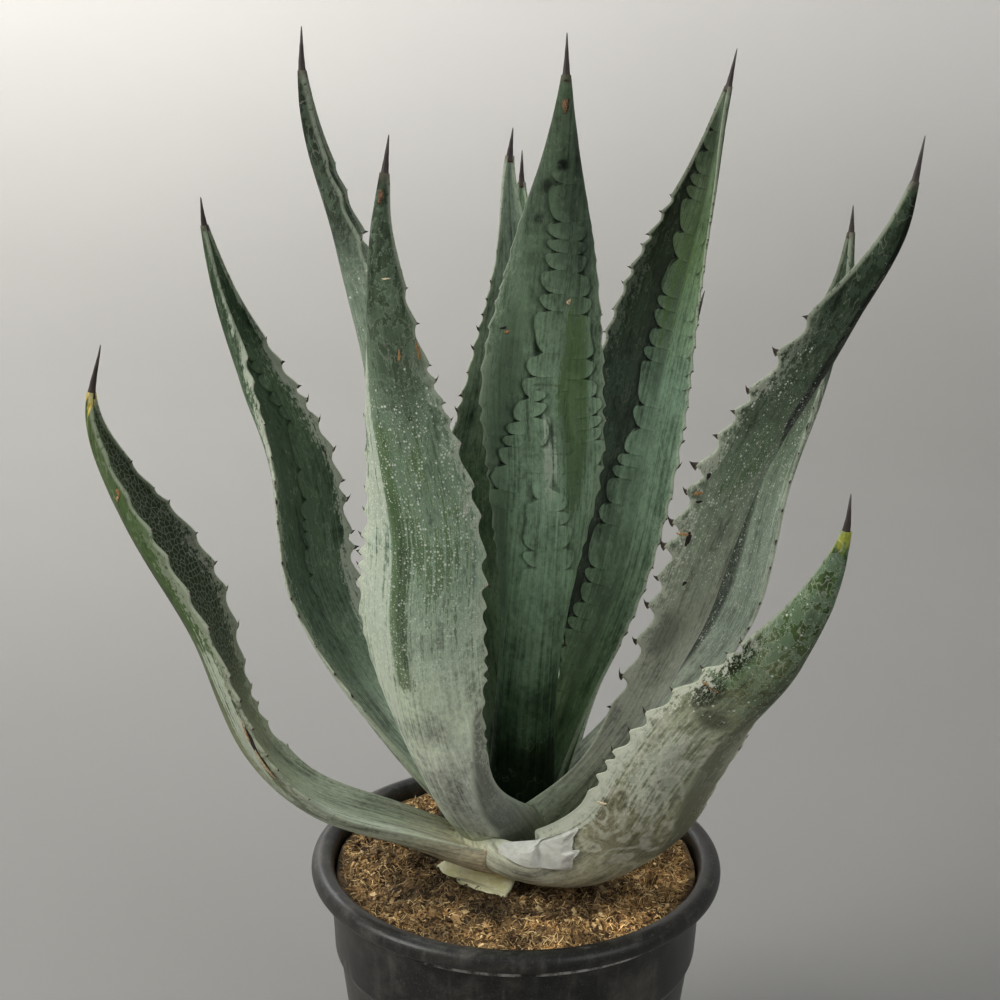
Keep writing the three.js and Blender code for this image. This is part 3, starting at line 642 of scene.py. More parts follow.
# %% The table of leaves
# Sizes are in millimetres and degrees. azimuth is the way that a leaf faces, and width is that of
# the blade laid flat; base and neck are shares of it, at the foot and a little higher, and peak is where
# the blade is widest. toothed is the stretch that has teeth, pitch is how far apart they are, and tooth
# makes them larger or smaller. curl, roll and thick are taken at fixed shares of the length: how far
# the blade bends round from its middle to a margin, how far it is turned, how thick its middle is.
# EDGE is how thick a margin is, and TIP_WIDTH how wide the blade is where its spine starts.
USUAL = dict(
    base=0.85, neck=0.7, peak=0.52, tooth=1, toothed=(0.2, 0.9), roll=[0, 0, 0], thick=[13, 9, 6, 3.6])
LEAVES = {
    "front_right": dict(
        azimuth=310, width=65, base=0.15, neck=1.0, peak=0.41, spine=16, pitch=17, tooth=1.1,
        toothed=(0.34, 0.84), curl=[60, 45, 42, 75, 100], roll=[-40, -28, -20], thick=[15, 11, 7, 4],
        route=[
            (-30, -20, 200), (-5, -38, 192), (22, -47, 191), (56, -70, 222), (73, -92, 265),
            (87, -114, 301), (112, -136, 341), (131, -150, 392), (135, -152, 413), (136, -150, 428)]),
    "front_left": dict(
        azimuth=243, width=64, base=1.3, neck=0.69, peak=0.41, spine=16, pitch=14, tooth=0.95,
        curl=[60, 64, 26, 60, 100], roll=[2, 11, -30], thick=[15, 10, 7, 3.8],
        route=[
            (-8, -16, 190), (-30, -55, 235), (-45, -82, 292), (-49, -98, 343), (-48, -108, 397),
            (-61, -110, 469), (-65, -106, 528), (-62, -103, 553), (-60, -101, 569)]),
    "left_low": dict(
        azimuth=195, width=66, base=0.7, neck=0.86, peak=0.53, spine=23, pitch=19, tooth=0.9,
        toothed=(0.3, 0.95), curl=[50, 30, 40, 100, 115], roll=[12, -5, -45], thick=[14, 10, 6, 3.6],
        route=[
            (-4, -24, 184), (-24, -26, 190), (-61, -30, 205), (-107, -38, 226), (-136, -45, 260),
            (-159, -50, 324), (-195, -54, 399), (-204, -53, 434), (-198, -51, 466)]),
    "back_low": dict(
        azimuth=61, width=52, spine=17, pitch=15, curl=[55, 45, 40, 70, 100],
        route=[
            (8, 14, 181), (31, 70, 243), (56, 140, 326), (82, 180, 387), (106, 201, 432), (111, 205, 448)]),
    "right_mid": dict(
        azimuth=23, width=64, neck=0.71, peak=0.49, spine=14, pitch=15, tooth=0.9,
        curl=[60, 42, 32, 60, 100], roll=[4, 0, -4],
        route=[
            (16, 6, 187), (68, 25, 240), (116, 45, 298), (136, 58, 371), (158, 66, 428), (171, 72, 474),
            (172, 74, 504), (172, 75, 518)]),
    "left_mid": dict(
        azimuth=155, width=59, base=0.8, neck=0.54, peak=0.5, spine=15, pitch=16, toothed=(0.22, 0.86),
        curl=[61, 47, 41, 98, 100], roll=[10, -11, 4],
        route=[
            (-16, 8, 186), (-71, 32, 236), (-112, 55, 302), (-126, 70, 371), (-147, 77, 418),
            (-162, 78, 463), (-169, 76, 503), (-170, 75, 518)]),
    "back_tall": dict(
        azimuth=90, width=64, spine=18, pitch=15, curl=[60, 45, 35, 60, 100],
        route=[
            (2, 14, 184), (1, 66, 274), (0, 120, 366), (0, 155, 446), (-1, 170, 506), (-1, 172, 534)]),
    "left_tall": dict(
        azimuth=210, width=58, base=0.8, peak=0.48, spine=19, pitch=15, tooth=0.9, toothed=(0.2, 0.93),
        curl=[60, 50, 44, 82, 110], roll=[0, -10, -40],
        route=[
            (-14, -8, 196), (-40, -24, 242), (-59, -34, 312), (-68, -48, 392), (-72, -56, 453),
            (-84, -60, 512), (-97, -60, 559), (-101, -58, 590), (-101, -56, 611)]),
    "right_tall": dict(
        azimuth=333, width=78, base=0.95, neck=0.75, peak=0.6, spine=20, pitch=16.5, tooth=1.7,
        toothed=(0.28, 0.84), curl=[74, 32, 52, 56, 104], roll=[-8, 2, 2], thick=[14, 10, 6.5, 3.8],
        route=[
            (16, -8, 190), (52, -36, 257), (81, -58, 330), (109, -70, 418), (142, -76, 481),
            (164, -78, 525), (169, -78, 550), (172, -76, 569)]),
    "bud_back": dict(
        azimuth=105, width=50, base=0.8, neck=0.8, peak=0.44, spine=14, pitch=12, tooth=0.8,
        curl=[80, 60, 29, 55, 93], roll=[0, -2, 3], thick=[11, 8, 5.5, 3.6],
        route=[
            (0, 10, 200), (-10, 22, 289), (-19, 30, 373), (-11, 38, 434), (-7, 42, 487), (-9, 42, 537),
            (-7, 42, 559)]),
    "right_back": dict(
        azimuth=50, width=66, base=0.7, neck=0.78, peak=0.48, spine=20, pitch=13, tooth=0.8,
        toothed=(0.2, 0.88), curl=[66, 34, 32, 50, 91], roll=[-8, 12, -16],
        route=[
            (10, 10, 196), (26, 42, 251), (48, 72, 309), (65, 98, 392), (80, 108, 459), (99, 112, 525),
            (108, 114, 571), (112, 114, 595)]),
    "bud_front": dict(
        azimuth=272, width=62, base=0.66, neck=0.64, peak=0.62, spine=19, pitch=11.5, tooth=0.6,
        toothed=(0.2, 0.88), curl=[60, 88, 27, 80, 115], roll=[2, 0, 0], thick=[22, 16, 7, 3.6],
        route=[
            (2, -8, 200), (4, -15, 271), (9, -21, 346), (11, -26, 401), (9, -28, 441), (13, -26, 499),
            (16, -23, 554), (17, -20, 588), (17, -18, 608)]),
}
EDGE = 1.1
TIP_WIDTH = 4.4
print(len(LEAVES), "leaves in the table")

# %% [markdown]
# A route is a smooth curve through its points, in which each length along the leaf has its place.
# Blender's curves could give that too, but here the points of the skin are needed as numbers. At each
# length there are three directions: along the leaf, across it, and inwards to the hollow side. A point
# of the skin is then a length along the leaf, a share of the half width, and a face.

# %% A leaf as a bent channel
def smooth_route(points, steps=60):
    """A dense walk along a curve through the points, with its lengths."""
    points = np.array(points, float)
    ends = np.concatenate([[2 * points[0] - points[1]], points, [2 * points[-1] - points[-2]]])
    walk = []
    for p in range(len(points) - 1):
        a, b, c, d = ends[p:p + 4]
        gaps = [max(np.linalg.norm(v - u) ** 0.5, 1e-4) for u, v in ((a, b), (b, c), (c, d))]
        start = ((b - a) / gaps[0] - (c - a) / (gaps[0] + gaps[1]) + (c - b) / gaps[1]) * gaps[1]
        end = ((c - b) / gaps[1] - (d - b) / (gaps[1] + gaps[2]) + (d - c) / gaps[2]) * gaps[1]
        t = np.linspace(0, 1, steps, endpoint=False)[:, None]
        walk.append((2 * t ** 3 - 3 * t ** 2 + 1) * b + (t ** 3 - 2 * t ** 2 + t) * start
                    + (3 * t ** 2 - 2 * t ** 3) * c + (t ** 3 - t ** 2) * end)
    walk = np.concatenate([*walk, points[-1:]])
    lengths = np.concatenate([[0], np.cumsum(np.linalg.norm(np.diff(walk, axis=0), axis=1))])
    return walk, lengths


def unit(vectors):
    """The vectors with their lengths made 1."""
    return vectors / np.linalg.norm(vectors, axis=-1, keepdims=True)


class Leaf:
    """The shape of one leaf."""

    def __init__(self, name, index, sizes):
        self.name = name
        self.index = index
        self.__dict__.update(USUAL, **sizes)
        self.walk, self.lengths = smooth_route(self.route)
        self.headings = unit(np.gradient(self.walk, self.lengths, axis=0))
        self.length = self.lengths[-1]
        self.blade = self.length - self.spine
        turn = math.radians(self.azimuth)
        self.side = np.array([-math.sin(turn), math.cos(turn), 0])

    def frame(self, s):
        """The place and the three directions at lengths s."""
        at = np.stack([np.interp(s, self.lengths, self.walk[:, k]) for k in range(3)], -1)
        along = unit(np.stack([np.interp(s, self.lengths, self.headings[:, k]) for k in range(3)], -1))
        across = unit(self.side - (along @ self.side)[..., None] * along)
        inward = np.cross(along, across)
        roll = np.radians(smooth_through([0, 0.5, 1], self.roll, np.clip(s / self.blade, 0, 1)))[..., None]
        turned_across = across * np.cos(roll) + inward * np.sin(roll)
        turned_inward = inward * np.cos(roll) - across * np.sin(roll)
        return at, along, turned_across, turned_inward

    def half_width(self, t):
        peak, neck = self.peak, self.neck
        stations = [0, 0.18, 0.18 + (peak - 0.18) / 2, peak, peak + (1 - peak) * 0.45,
                    peak + (1 - peak) * 0.78, 1]
        shares = [self.base, neck, (neck + 1) / 2 + 0.06 * (1 - neck), 1, 0.8, 0.38, TIP_WIDTH / self.width]
        return 0.5 * self.width * smooth_through(stations, shares, t)

    def bend(self, t):
        return np.radians(smooth_through([0, 0.25, 0.55, 0.85, 1], self.curl, t))

    def thickness(self, t):
        return smooth_through([0, 0.2, 0.55, 1], self.thick, t)

    def point(self, s, u, face, out=0.0, lift=0.0):
        """Points at lengths s and shares u of the half width; out moves them past the margin and lift
        off the surface. face is 1 on the hollow side, -1 on the outer side, 0 between."""
        s, u, face, out, lift = np.broadcast_arrays(s, u, face, out, lift)
        t = np.clip(s / self.blade, 0, 1)
        at, _, across, inward = self.frame(s)
        bend = self.bend(t)
        radius = self.half_width(t) / bend
        angle = u * bend + out / radius
        flesh = np.clip(1 - u * u, 0, 1) ** 0.9
        half = 0.5 * (EDGE + (self.thickness(t) - EDGE) * flesh)
        half = np.where(face > 0, np.minimum(half, 0.8 * radius), half) + lift
        reach = (radius - face * half)[..., None]
        angle = angle[..., None]
        return at + reach * np.sin(angle) * across + (radius[..., None] - reach * np.cos(angle)) * inward


leaves = {name: Leaf(name, index, sizes) for index, (name, sizes) in enumerate(LEAVES.items())}
print("longest leaf", round(max(leaf.length for leaf in leaves.values())), "mm")

# %% [markdown]
# The margin isn't straight. Each tooth stands on a small fleshy rise, and between two teeth the margin
# runs in a shallow hollow. An array of equal teeth would look stamped. So they stand at uneven steps and
# in uneven sizes, drawn once for each margin from a fixed seed.

# %% Teeth and margins
def tooth_row(leaf, margin):
    """Where the teeth of one margin stand, as shares of the blade, with their sizes and leans."""
    draw = np.random.default_rng(100 + leaf.index * 2 + (margin > 0))
    start, end = leaf.toothed
    count = int(round((end - start) * leaf.blade / leaf.pitch))
    steps = draw.uniform(0.55, 1.45, count + 1)
    t = start + (end - start) * np.cumsum(steps)[:-1] / steps.sum()
    size = 0.9 + 2.1 * np.sin(np.pi * np.clip((t - 0.1) * 1.15, 0, 1)) ** 0.9
    size = size * draw.uniform(0.65, 1.35, count)
    return t, size * leaf.tooth, draw.uniform(-0.5, 1.0, count)


def margin_wave(leaf, margin, t):
    """How far the margin stands out from its even line, in millimetres."""
    stops, size, _ = leaf.rows[margin]
    edges = np.concatenate([[0.0], stops, [1.0]])
    sizes = np.concatenate([[0.0], size, [0.0]])
    i = np.clip(np.searchsorted(edges, t, side="right") - 1, 0, len(edges) - 2)
    x = np.clip((t - edges[i]) / (edges[i + 1] - edges[i]), 0, 1)
    crest = sizes[i] * (1 - x) + sizes[i + 1] * x
    end = np.where((i == 0) | (i == len(edges) - 2), 0.2, 1.0)
    hollow = np.sin(np.pi * x ** 1.8) ** 0.8
    return crest * (0.6 - hollow * (0.6 + 0.45 * end))


for leaf in leaves.values():
    leaf.rows = {margin: tooth_row(leaf, margin) for margin in (-1, 1)}
print("teeth:", sum(len(leaf.rows[m][0]) for leaf in leaves.values() for m in (-1, 1)))

# %% [markdown]
# Wax makes these leaves pale. It lies in lengthwise streaks over a deep green flesh, it is rubbed off in
# patches where leaves touched, and it collects as white specks and crusts. The bases are nearly white and
# the ends dark. Painting each leaf by hand would give the same, but only once. Here all of it is a mix of
# tones by noises stretched along the leaf. What differs between the leaves is in this table: the tones along
# the leaf, patches and strips, folds, crusts, and the prints that the leaves pressed into each other in the
# bud.

# %% The looks of the leaves
TONES = dict(
    chalk=(0.72, 0.72, 0.6), bloom=(0.62, 0.68, 0.56), mist=(0.3, 0.38, 0.28), sage=(0.19, 0.27, 0.185),
    green=(0.115, 0.18, 0.105), moss=(0.07, 0.105, 0.06), leafy=(0.08, 0.14, 0.045),
    deep=(0.016, 0.032, 0.015), ink=(0.008, 0.014, 0.007), crust=(0.62, 0.64, 0.53),
    margin_highlight=(0.45, 0.5, 0.38), speck=(0.75, 0.8, 0.7), pebble=(0.22, 0.25, 0.21), withered=(0.11, 0.09, 0.07))

# Dark strips are mostly painted shade, beside folds and creases and on sides turned from the light.
# The tones along a leaf and its dark marks are partly painted shade, and partly the leaf's own colour.
# Patches: dark, green or pale; middle as share of length and of half width; half sizes as the same; cover.
# Strips: dark, green or pale; a line of such shares; how far it fades out beside that line, in
# millimetres, below 0 for the side of the margin at -1; cover.
# Prints: a line of shares, then the length of a scallop in millimetres, its side, and its strength;
# throw is how far a scallop reaches, in millimetres.
# Folds: a line of shares along the outer face, and how high it stands up in millimetres.
# Specks and net: where they start and end, as shares of the length, and their strength.
# Swirl and pebbled: their strength. Wax: how much of the leaf it covers. Crust and worn: how
# strongly they show.
PLAIN = dict(
    wax=0.5, crust=0.2, worn=0.4, throw=4.0, specks=(), net=(), swirl=(), pebbled=(), folds=(),
    patches=(), strips=(), prints=())
# Lines that several marks of one leaf follow
KEEL = [
    (0.3, 0.45), (0.43, 0.2), (0.54, 0.08), (0.64, 0.07), (0.7, -0.05), (0.76, -0.09), (0.82, 0.08),
    (0.89, 0.18)]
SCUFF = [(0.42, -0.3), (0.48, -0.34), (0.58, -0.36), (0.66, -0.42)]
CREASE = [(0.45, 0.05), (0.52, -0.06), (0.6, 0.0), (0.66, 0.04), (0.72, 0.15)]
BUD_LINE = [
    (0.24, 0.3), (0.31, 0.21), (0.37, 0.25), (0.44, 0.16), (0.48, 0.08), (0.53, -0.1), (0.57, -0.06),
    (0.64, 0.0), (0.67, -0.06), (0.72, 0.02), (0.77, 0.06), (0.84, 0.3)]
BACK_LOOK = dict(
    tones=[(0.0, TONES["mist"]), (0.5, TONES["sage"]), (1.0, TONES["green"])], wax=0.45, crust=0.3)
LOOKS = {
    "front_right": dict(
        specks=(0.55, 0.95, 0.15), crust=1.3, worn=1.0, net=(0.62, 0.98, 0.9), swirl=[0.5],
        # The dark strip along the keel is painted shade on the side turned from the light
        folds=[([*KEEL, (0.97, 0.1)], 2.6)], strips=[("dark", [*KEEL, (0.98, 0.1)], 40, 0.6)],
        tones=[
            (0.0, (0.55, 0.56, 0.4)), (0.15, (0.58, 0.6, 0.48)), (0.25, (0.44, 0.44, 0.3)),
            (0.35, (0.24, 0.23, 0.145)), (0.45, (0.31, 0.32, 0.21)), (0.55, (0.42, 0.45, 0.32)),
            (0.65, (0.34, 0.36, 0.235)), (0.72, (0.165, 0.19, 0.1)), (0.85, (0.085, 0.115, 0.052)),
            (0.975, (0.05, 0.085, 0.035)), (0.984, (0.3, 0.33, 0.06))],
        patches=[
            ("pale", 0.36, -0.95, 0.16, 0.2, 1.1), ("pale", 0.52, -0.94, 0.12, 0.14, 1.0),
            ("pale", 0.52, -0.4, 0.12, 0.4, 0.6), ("dark", 0.765, -0.85, 0.045, 0.2, 1.0),
            ("dark", 0.69, -0.7, 0.03, 0.22, 1.0), ("dark", 0.66, -0.3, 0.02, 0.3, 0.7),
            ("green", 0.9, -0.3, 0.09, 0.7, 0.5), ("green", 0.75, -0.8, 0.06, 0.3, 0.8)]),
    "front_left": dict(
        wax=0.55, specks=(0.33, 0.8, 1.0), crust=0.6, worn=0.5, net=(0.66, 0.97, 0.5),
        tones=[
            (0.0, (0.5, 0.55, 0.36)), (0.12, (0.45, 0.5, 0.42)), (0.22, (0.56, 0.6, 0.5)),
            (0.34, (0.58, 0.66, 0.5)), (0.45, (0.46, 0.57, 0.42)), (0.55, (0.34, 0.46, 0.33)),
            (0.64, (0.22, 0.31, 0.21)), (0.74, (0.15, 0.215, 0.14)), (0.84, (0.065, 0.095, 0.055)),
            (0.97, (0.05, 0.07, 0.045))],
        folds=[
            ([(0.38, -0.1), (0.48, -0.24), (0.58, -0.3), (0.66, -0.35), (0.776, -0.2), (0.92, -0.1),
                (0.96, -0.1)], 1.6)],
        patches=[
            ("green", 0.6, 0.3, 0.14, 0.7, 0.5), ("pale", 0.3, -0.85, 0.05, 0.3, 0.8),
            ("dark", 0.78, 0.35, 0.07, 0.5, 0.55), ("pale", 0.66, 0.7, 0.05, 0.3, 0.3)],
        strips=[
            ("pale", [(0.3, -0.3), *SCUFF, (0.9, -0.6)], -30, 0.8),
            ("green", [(0.37, -0.25), *SCUFF, (0.74, -0.4)], 8, 1.2),
            ("dark", [(0.4, -0.2), (0.47, -0.26), (0.51, -0.3), (0.58, -0.31), (0.63, -0.38),
                (0.66, -0.36)], 9, 0.55),
            # The last dark strip is painted shade on the lower part of the blade, towards the margin at +1
            ("dark", [(0.02, 0.3), (0.14, 0.4), (0.34, 0.8)], 30, 0.7)]),
    "left_low": dict(
        wax=0.47, crust=0.6, worn=0.5, pebbled=[1.2],
        tones=[
            (0.0, (0.75, 0.6, 0.38)), (0.1, (0.62, 0.6, 0.43)), (0.2, (0.42, 0.47, 0.34)),
            (0.33, (0.32, 0.37, 0.26)), (0.45, (0.28, 0.3, 0.18)), (0.56, (0.13, 0.16, 0.085)),
            (0.7, (0.09, 0.12, 0.06)), (0.9, (0.1, 0.14, 0.065)), (0.972, (0.09, 0.13, 0.045)),
            (0.98, (0.72, 0.52, 0.05))],
        patches=[
            ("dark", 0.74, -0.6, 0.27, 0.55, 0.65), ("green", 0.7, 0.8, 0.22, 0.25, 0.7),
            ("pale", 0.52, 0.75, 0.12, 0.2, 0.8), ("pale", 0.3, 0.6, 0.16, 0.3, 0.6),
            ("green", 0.47, 0.3, 0.1, 0.6, 0.4)]),
    "back_low": BACK_LOOK,
    "right_mid": dict(
        specks=(0.3, 0.8, 0.6), crust=0.5, worn=0.7, net=(0.3, 0.8, 0.35),
        tones=[
            (0.0, (0.6, 0.64, 0.52)), (0.25, (0.62, 0.67, 0.52)), (0.36, (0.36, 0.42, 0.33)),
            (0.55, (0.3, 0.36, 0.28)), (0.66, (0.15, 0.2, 0.13)), (0.76, (0.06, 0.08, 0.05)),
            (1.0, (0.05, 0.07, 0.045))],
        strips=[
            ("dark", [(0.2, 0.2), (0.9, 0.2)], 60, 0.9), ("pale", [(0.4, -0.6), (0.8, -0.6)], -20, 0.45)]),
    "left_mid": dict(
        wax=0.44, crust=1.0, worn=0.6,
        tones=[
            (0.0, (0.5, 0.58, 0.46)), (0.22, (0.5, 0.6, 0.46)), (0.32, (0.22, 0.3, 0.21)),
            (0.45, (0.13, 0.19, 0.125)), (0.6, (0.115, 0.17, 0.105)), (0.76, (0.1, 0.155, 0.09)),
            (0.86, (0.05, 0.08, 0.045)), (1.0, (0.06, 0.09, 0.05))],
        prints=[
            ([(0.42, 0.0), (0.49, -0.02), (0.62, -0.2), (0.69, -0.5), (0.83, -0.3)], 13, 1, 0.7)],
        patches=[
            ("pale", 0.74, 0.95, 0.2, 0.14, 0.5), ("pale", 0.36, -0.95, 0.2, 0.16, 1.0),
            ("pale", 0.7, -0.95, 0.2, 0.12, 0.8), ("dark", 0.62, 0.1, 0.2, 0.5, 0.4)]),
    "back_tall": BACK_LOOK,
    "left_tall": dict(
        specks=(0.4, 0.86, 0.3), crust=0.4, worn=0.6, net=(0.5, 0.9, 0.4),
        patches=[("pale", 0.62, -0.4, 0.14, 0.3, 0.4)],
        # The dark end of these tones is painted shade
        tones=[
            (0.0, TONES["sage"]), (0.5, (0.19, 0.25, 0.18)), (0.76, (0.21, 0.27, 0.2)),
            (0.83, (0.06, 0.08, 0.055)), (0.96, (0.02, 0.028, 0.018))]),
    "right_tall": dict(
        specks=(0.45, 0.82, 0.6), crust=0.7, worn=0.7, net=(0.5, 0.86, 0.3),
        folds=[([(0.33, 0.1), *CREASE, (0.85, 0.3)], 1.8)],
        tones=[
            (0.0, (0.45, 0.52, 0.4)), (0.15, (0.45, 0.52, 0.4)), (0.25, (0.75, 0.8, 0.7)),
            (0.35, (0.62, 0.66, 0.54)), (0.45, (0.36, 0.4, 0.3)), (0.55, (0.26, 0.31, 0.22)),
            (0.65, (0.16, 0.21, 0.14)), (0.74, (0.07, 0.1, 0.06)), (0.84, (0.03, 0.045, 0.025)),
            (1.0, (0.03, 0.045, 0.025))],
        patches=[
            ("dark", 0.42, -0.75, 0.035, 0.3, 0.55), ("green", 0.66, -0.5, 0.07, 0.4, 0.4)],
        # Both dark strips are painted shade: on the rolled underside beyond the crease, and over the upper
        # blade
        strips=[
            ("dark", [(0.28, 0.1), *CREASE, (0.9, 0.3)], 18, 0.8),
            ("dark", [(0.5, 1.1), (0.64, 0.2), (0.7, -0.2), (1.0, -0.3)], 60, 1.4)]),
    "bud_back": dict(
        tones=[
            (0.0, TONES["moss"]), (0.15, (0.42, 0.52, 0.38)), (0.3, (0.18, 0.26, 0.16)),
            (0.45, TONES["moss"]), (0.55, (0.1, 0.15, 0.09)), (0.7, (0.34, 0.42, 0.31)),
            (0.85, (0.23, 0.3, 0.22)), (1.0, (0.25, 0.32, 0.24))]),
    "right_back": dict(
        wax=0.46, crust=0.08, worn=0.15, throw=5.5, patches=[("green", 0.75, -0.2, 0.12, 0.25, 0.5)],
        tones=[
            (0.0, (0.03, 0.055, 0.03)), (0.16, (0.09, 0.145, 0.065)), (0.25, (0.075, 0.12, 0.065)),
            (0.35, (0.1, 0.155, 0.095)), (0.46, (0.15, 0.23, 0.15)), (0.6, (0.16, 0.245, 0.165)),
            (0.68, (0.13, 0.2, 0.12)), (0.78, (0.095, 0.15, 0.07)), (0.9, (0.09, 0.13, 0.07)),
            (1.0, (0.09, 0.12, 0.08))],
        prints=[
            ([(0.03, 0.35), *BUD_LINE, (0.98, 0.5)], 13, 1, 1.0),
            ([(0.56, -0.93), (0.62, -0.88), (0.68, -0.84), (0.71, -0.74), (0.77, -0.72), (0.84, -0.7)],
                14, -1, 0.5)],
        # These dark strips are painted shade on the side of the channel turned from the light
        strips=[
            ("dark", [(0.02, 0.3), *BUD_LINE, (0.97, 0.5)], 90, 1.6),
            ("dark", [(0.05, 0.3), *BUD_LINE[:7]], -14, 0.6),
            ("dark", [(0.1, -0.45), (0.3, -0.4), (0.62, -0.35), (0.8, -0.4), (0.98, -0.4)], 60, 0.75)]),
    "bud_front": dict(
        wax=0.52, worn=0.2, throw=5.0,
        # The ink at the foot is painted shade deep among the other leaves
        tones=[
            (0.0, TONES["ink"]), (0.12, (0.014, 0.026, 0.012)), (0.2, (0.06, 0.105, 0.058)),
            (0.28, (0.15, 0.23, 0.15)), (0.4, (0.25, 0.37, 0.25)), (0.5, (0.3, 0.43, 0.3)),
            (0.6, (0.24, 0.35, 0.23)), (0.7, (0.15, 0.22, 0.14)), (0.8, (0.085, 0.125, 0.08)),
            (0.88, (0.055, 0.08, 0.05)), (1.0, (0.07, 0.1, 0.06))],
        prints=[
            ([(0.46, -0.9), (0.492, -0.8), (0.54, -0.6), (0.574, -0.44), (0.6, -0.28), (0.613, -0.2),
                (0.665, -0.08), (0.698, -0.1), (0.723, 0.0), (0.761, -0.02), (0.793, 0.05), (0.89, 0.0)],
                11, -1, 1.0),
            ([(0.5, 0.98), (0.53, 0.89), (0.57, 0.78), (0.61, 0.8), (0.635, 0.62), (0.672, 0.7),
                (0.7, 0.55), (0.747, 0.56), (0.77, 0.43), (0.83, 0.4)], 11, 1, 1.0),
            ([(0.54, -0.1), (0.55, -0.06), (0.588, -0.12), (0.61, -0.11), (0.63, -0.14)], 9, 1, 1.0),
            ([(0.36, -0.1), (0.396, -0.11), (0.44, -0.15), (0.476, -0.15), (0.515, 0.0)], 17, -1, 0.6),
            ([(0.36, 0.5), (0.389, 0.45), (0.438, 0.31), (0.478, 0.19), (0.515, 0.0)], 15, 1, 0.6)],
        patches=[
            ("green", 0.6, 0.46, 0.12, 0.22, 1.0), ("pale", 0.54, 0.07, 0.05, 0.1, 0.8),
            ("dark", 0.69, -0.6, 0.04, 0.2, 0.4), ("dark", 0.87, -0.32, 0.008, 0.14, 0.8),
            ("dark", 0.83, -0.4, 0.007, 0.12, 0.7), ("dark", 0.896, 0.04, 0.007, 0.16, 1.0),
            ("dark", 0.845, 0.3, 0.012, 0.1, 0.5), ("dark", 0.78, -0.4, 0.012, 0.16, 0.4)],
        # The dark strip is painted shade along one side, towards the margin at -1
        strips=[
            ("dark", [(0.3, -0.5), (0.5, -0.62), (0.6, -0.35), (0.7, -0.35)], -30, 0.5)]),
}
LOOKS = {name: {**PLAIN, **look} for name, look in LOOKS.items()}
marks = sum(len(look["patches"]) + len(look["strips"]) for look in LOOKS.values())
print(marks, "marks laid")

# %% [markdown]
# The marks of the table are turned into numbers at each point of the mesh. They could be drawn as
# textures on unwrapped leaves; as numbers on the points they need no unwrapping, follow every bend, and
# a noise can still fray their edges later on. A point holds how much dark, green and pale lies on it,
# and for the prints how far it is from the nearest line and how many scallops down that line it lies.

# %% Marks at each point of a leaf
# A patch is whole up to 0.6 of its half size, and gone at 1.6 of it
FADE = 1.6


def line_offset(path, t, u, half):
    """How far each point lies from a line of shares, across the leaf, and a number that is 0 at its ends."""
    shares, offsets = np.array(path, float).T
    ends = np.clip(np.minimum(t - shares[0], shares[-1] - t) * 50, 0, 1)
    return (u - np.interp(t, shares, offsets)) * half, ends


def covers(look, t, u, half):
    """How much each point is covered by dark, green and pale marks."""
    cover = dict(dark=0 * t * u, green=0 * t * u, pale=0 * t * u)
    for tone, share, offset, long, wide, strength in look["patches"]:
        reach = np.hypot((t - share) / long, (u - offset) / wide)
        cover[tone] = np.maximum(cover[tone], strength * np.clip(FADE - reach, 0, 1))
    for tone, path, breadth, strength in look["strips"]:
        away, ends = line_offset(path, t, u, half)
        away = away * np.sign(breadth)
        mark = np.clip(0.5 + away / 4, 0, 1) * np.clip(1.3 - away / abs(breadth), 0, 1) * ends
        cover[tone] = np.maximum(cover[tone], strength * mark)
    return np.stack([cover["dark"], cover["green"], cover["pale"]], -1)


def bud_prints(look, t, u, half, s):
    """Distance outwards from the nearest line of prints, scallops counted down it, and strength."""
    nearest = np.full(t.shape, 99.0)
    count, force = 0 * t, 0 * t
    for path, pitch, side, strength in look["prints"]:
        away, ends = line_offset(path, t, u, half)
        away = away * np.sign(side)
        closer = (np.abs(away) < np.abs(nearest)) & (ends > 0)
        nearest = np.where(closer, away, nearest)
        uneven = 0.5 * np.sin(s / 13 + pitch) + 0.2 * np.sin(s / 5 + 2 * pitch)
        count = np.where(closer, 20 + path[0][1] - s / pitch + uneven, count)
        force = np.where(closer, strength * ends, force)
    return np.stack([nearest, count, force], -1)


print("marks are laid in shares of the length and the half width")

# %% [markdown]
# The skin of a blade is rows of closed rings: the outer face from margin to margin, a rounded edge, the
# hollow face back, and the other edge. A flat sheet with thickness added would have no flesh in its
# middle and no rounded edge. The rings stand closer at the teeth, where the margin comes to a point. Low
# ribs run along the leaf, broad soft swellings cross it, and some leaves have a fold that stands up.

# %% The skin of a blade
BLADE_STEP = 2.3
FACE_COLUMNS = 34
EDGE_ROUND = [(-0.62, 0.34), (0.0, 0.5), (0.62, 0.34)]


def blade_columns(columns):
    """Shares of the half width, faces and outward shifts of the points of one ring."""
    u = np.sin(np.linspace(-1, 1, columns) * math.pi / 2 * 0.9) / math.sin(math.pi / 2 * 0.9)
    ring = [(share, -1.0, 0.0) for share in u]
    ring += [(1.0, face, shift) for face, shift in EDGE_ROUND]
    ring += [(share, 1.0, 0.0) for share in u[::-1]]
    ring += [(-1.0, -face, shift) for face, shift in EDGE_ROUND]
    return np.array(ring)


def blade_stations(leaf, step):
    """Lengths along the blade: even steps, and three at each tooth."""
    teeth = np.concatenate([leaf.rows[m][0] for m in (-1, 1)]) * leaf.blade
    close = np.sort(np.concatenate([teeth - 1.1, teeth, teeth + 1.1]))
    even = np.linspace(0, leaf.blade, int(leaf.blade / step))
    gap = np.abs(even[:, None] - close[None]).min(1)
    stations = np.sort(np.concatenate([even[(gap > 0.9) | (even == 0) | (even == leaf.blade)], close]))
    return stations[np.concatenate([[True], np.diff(stations) > 0.25])]


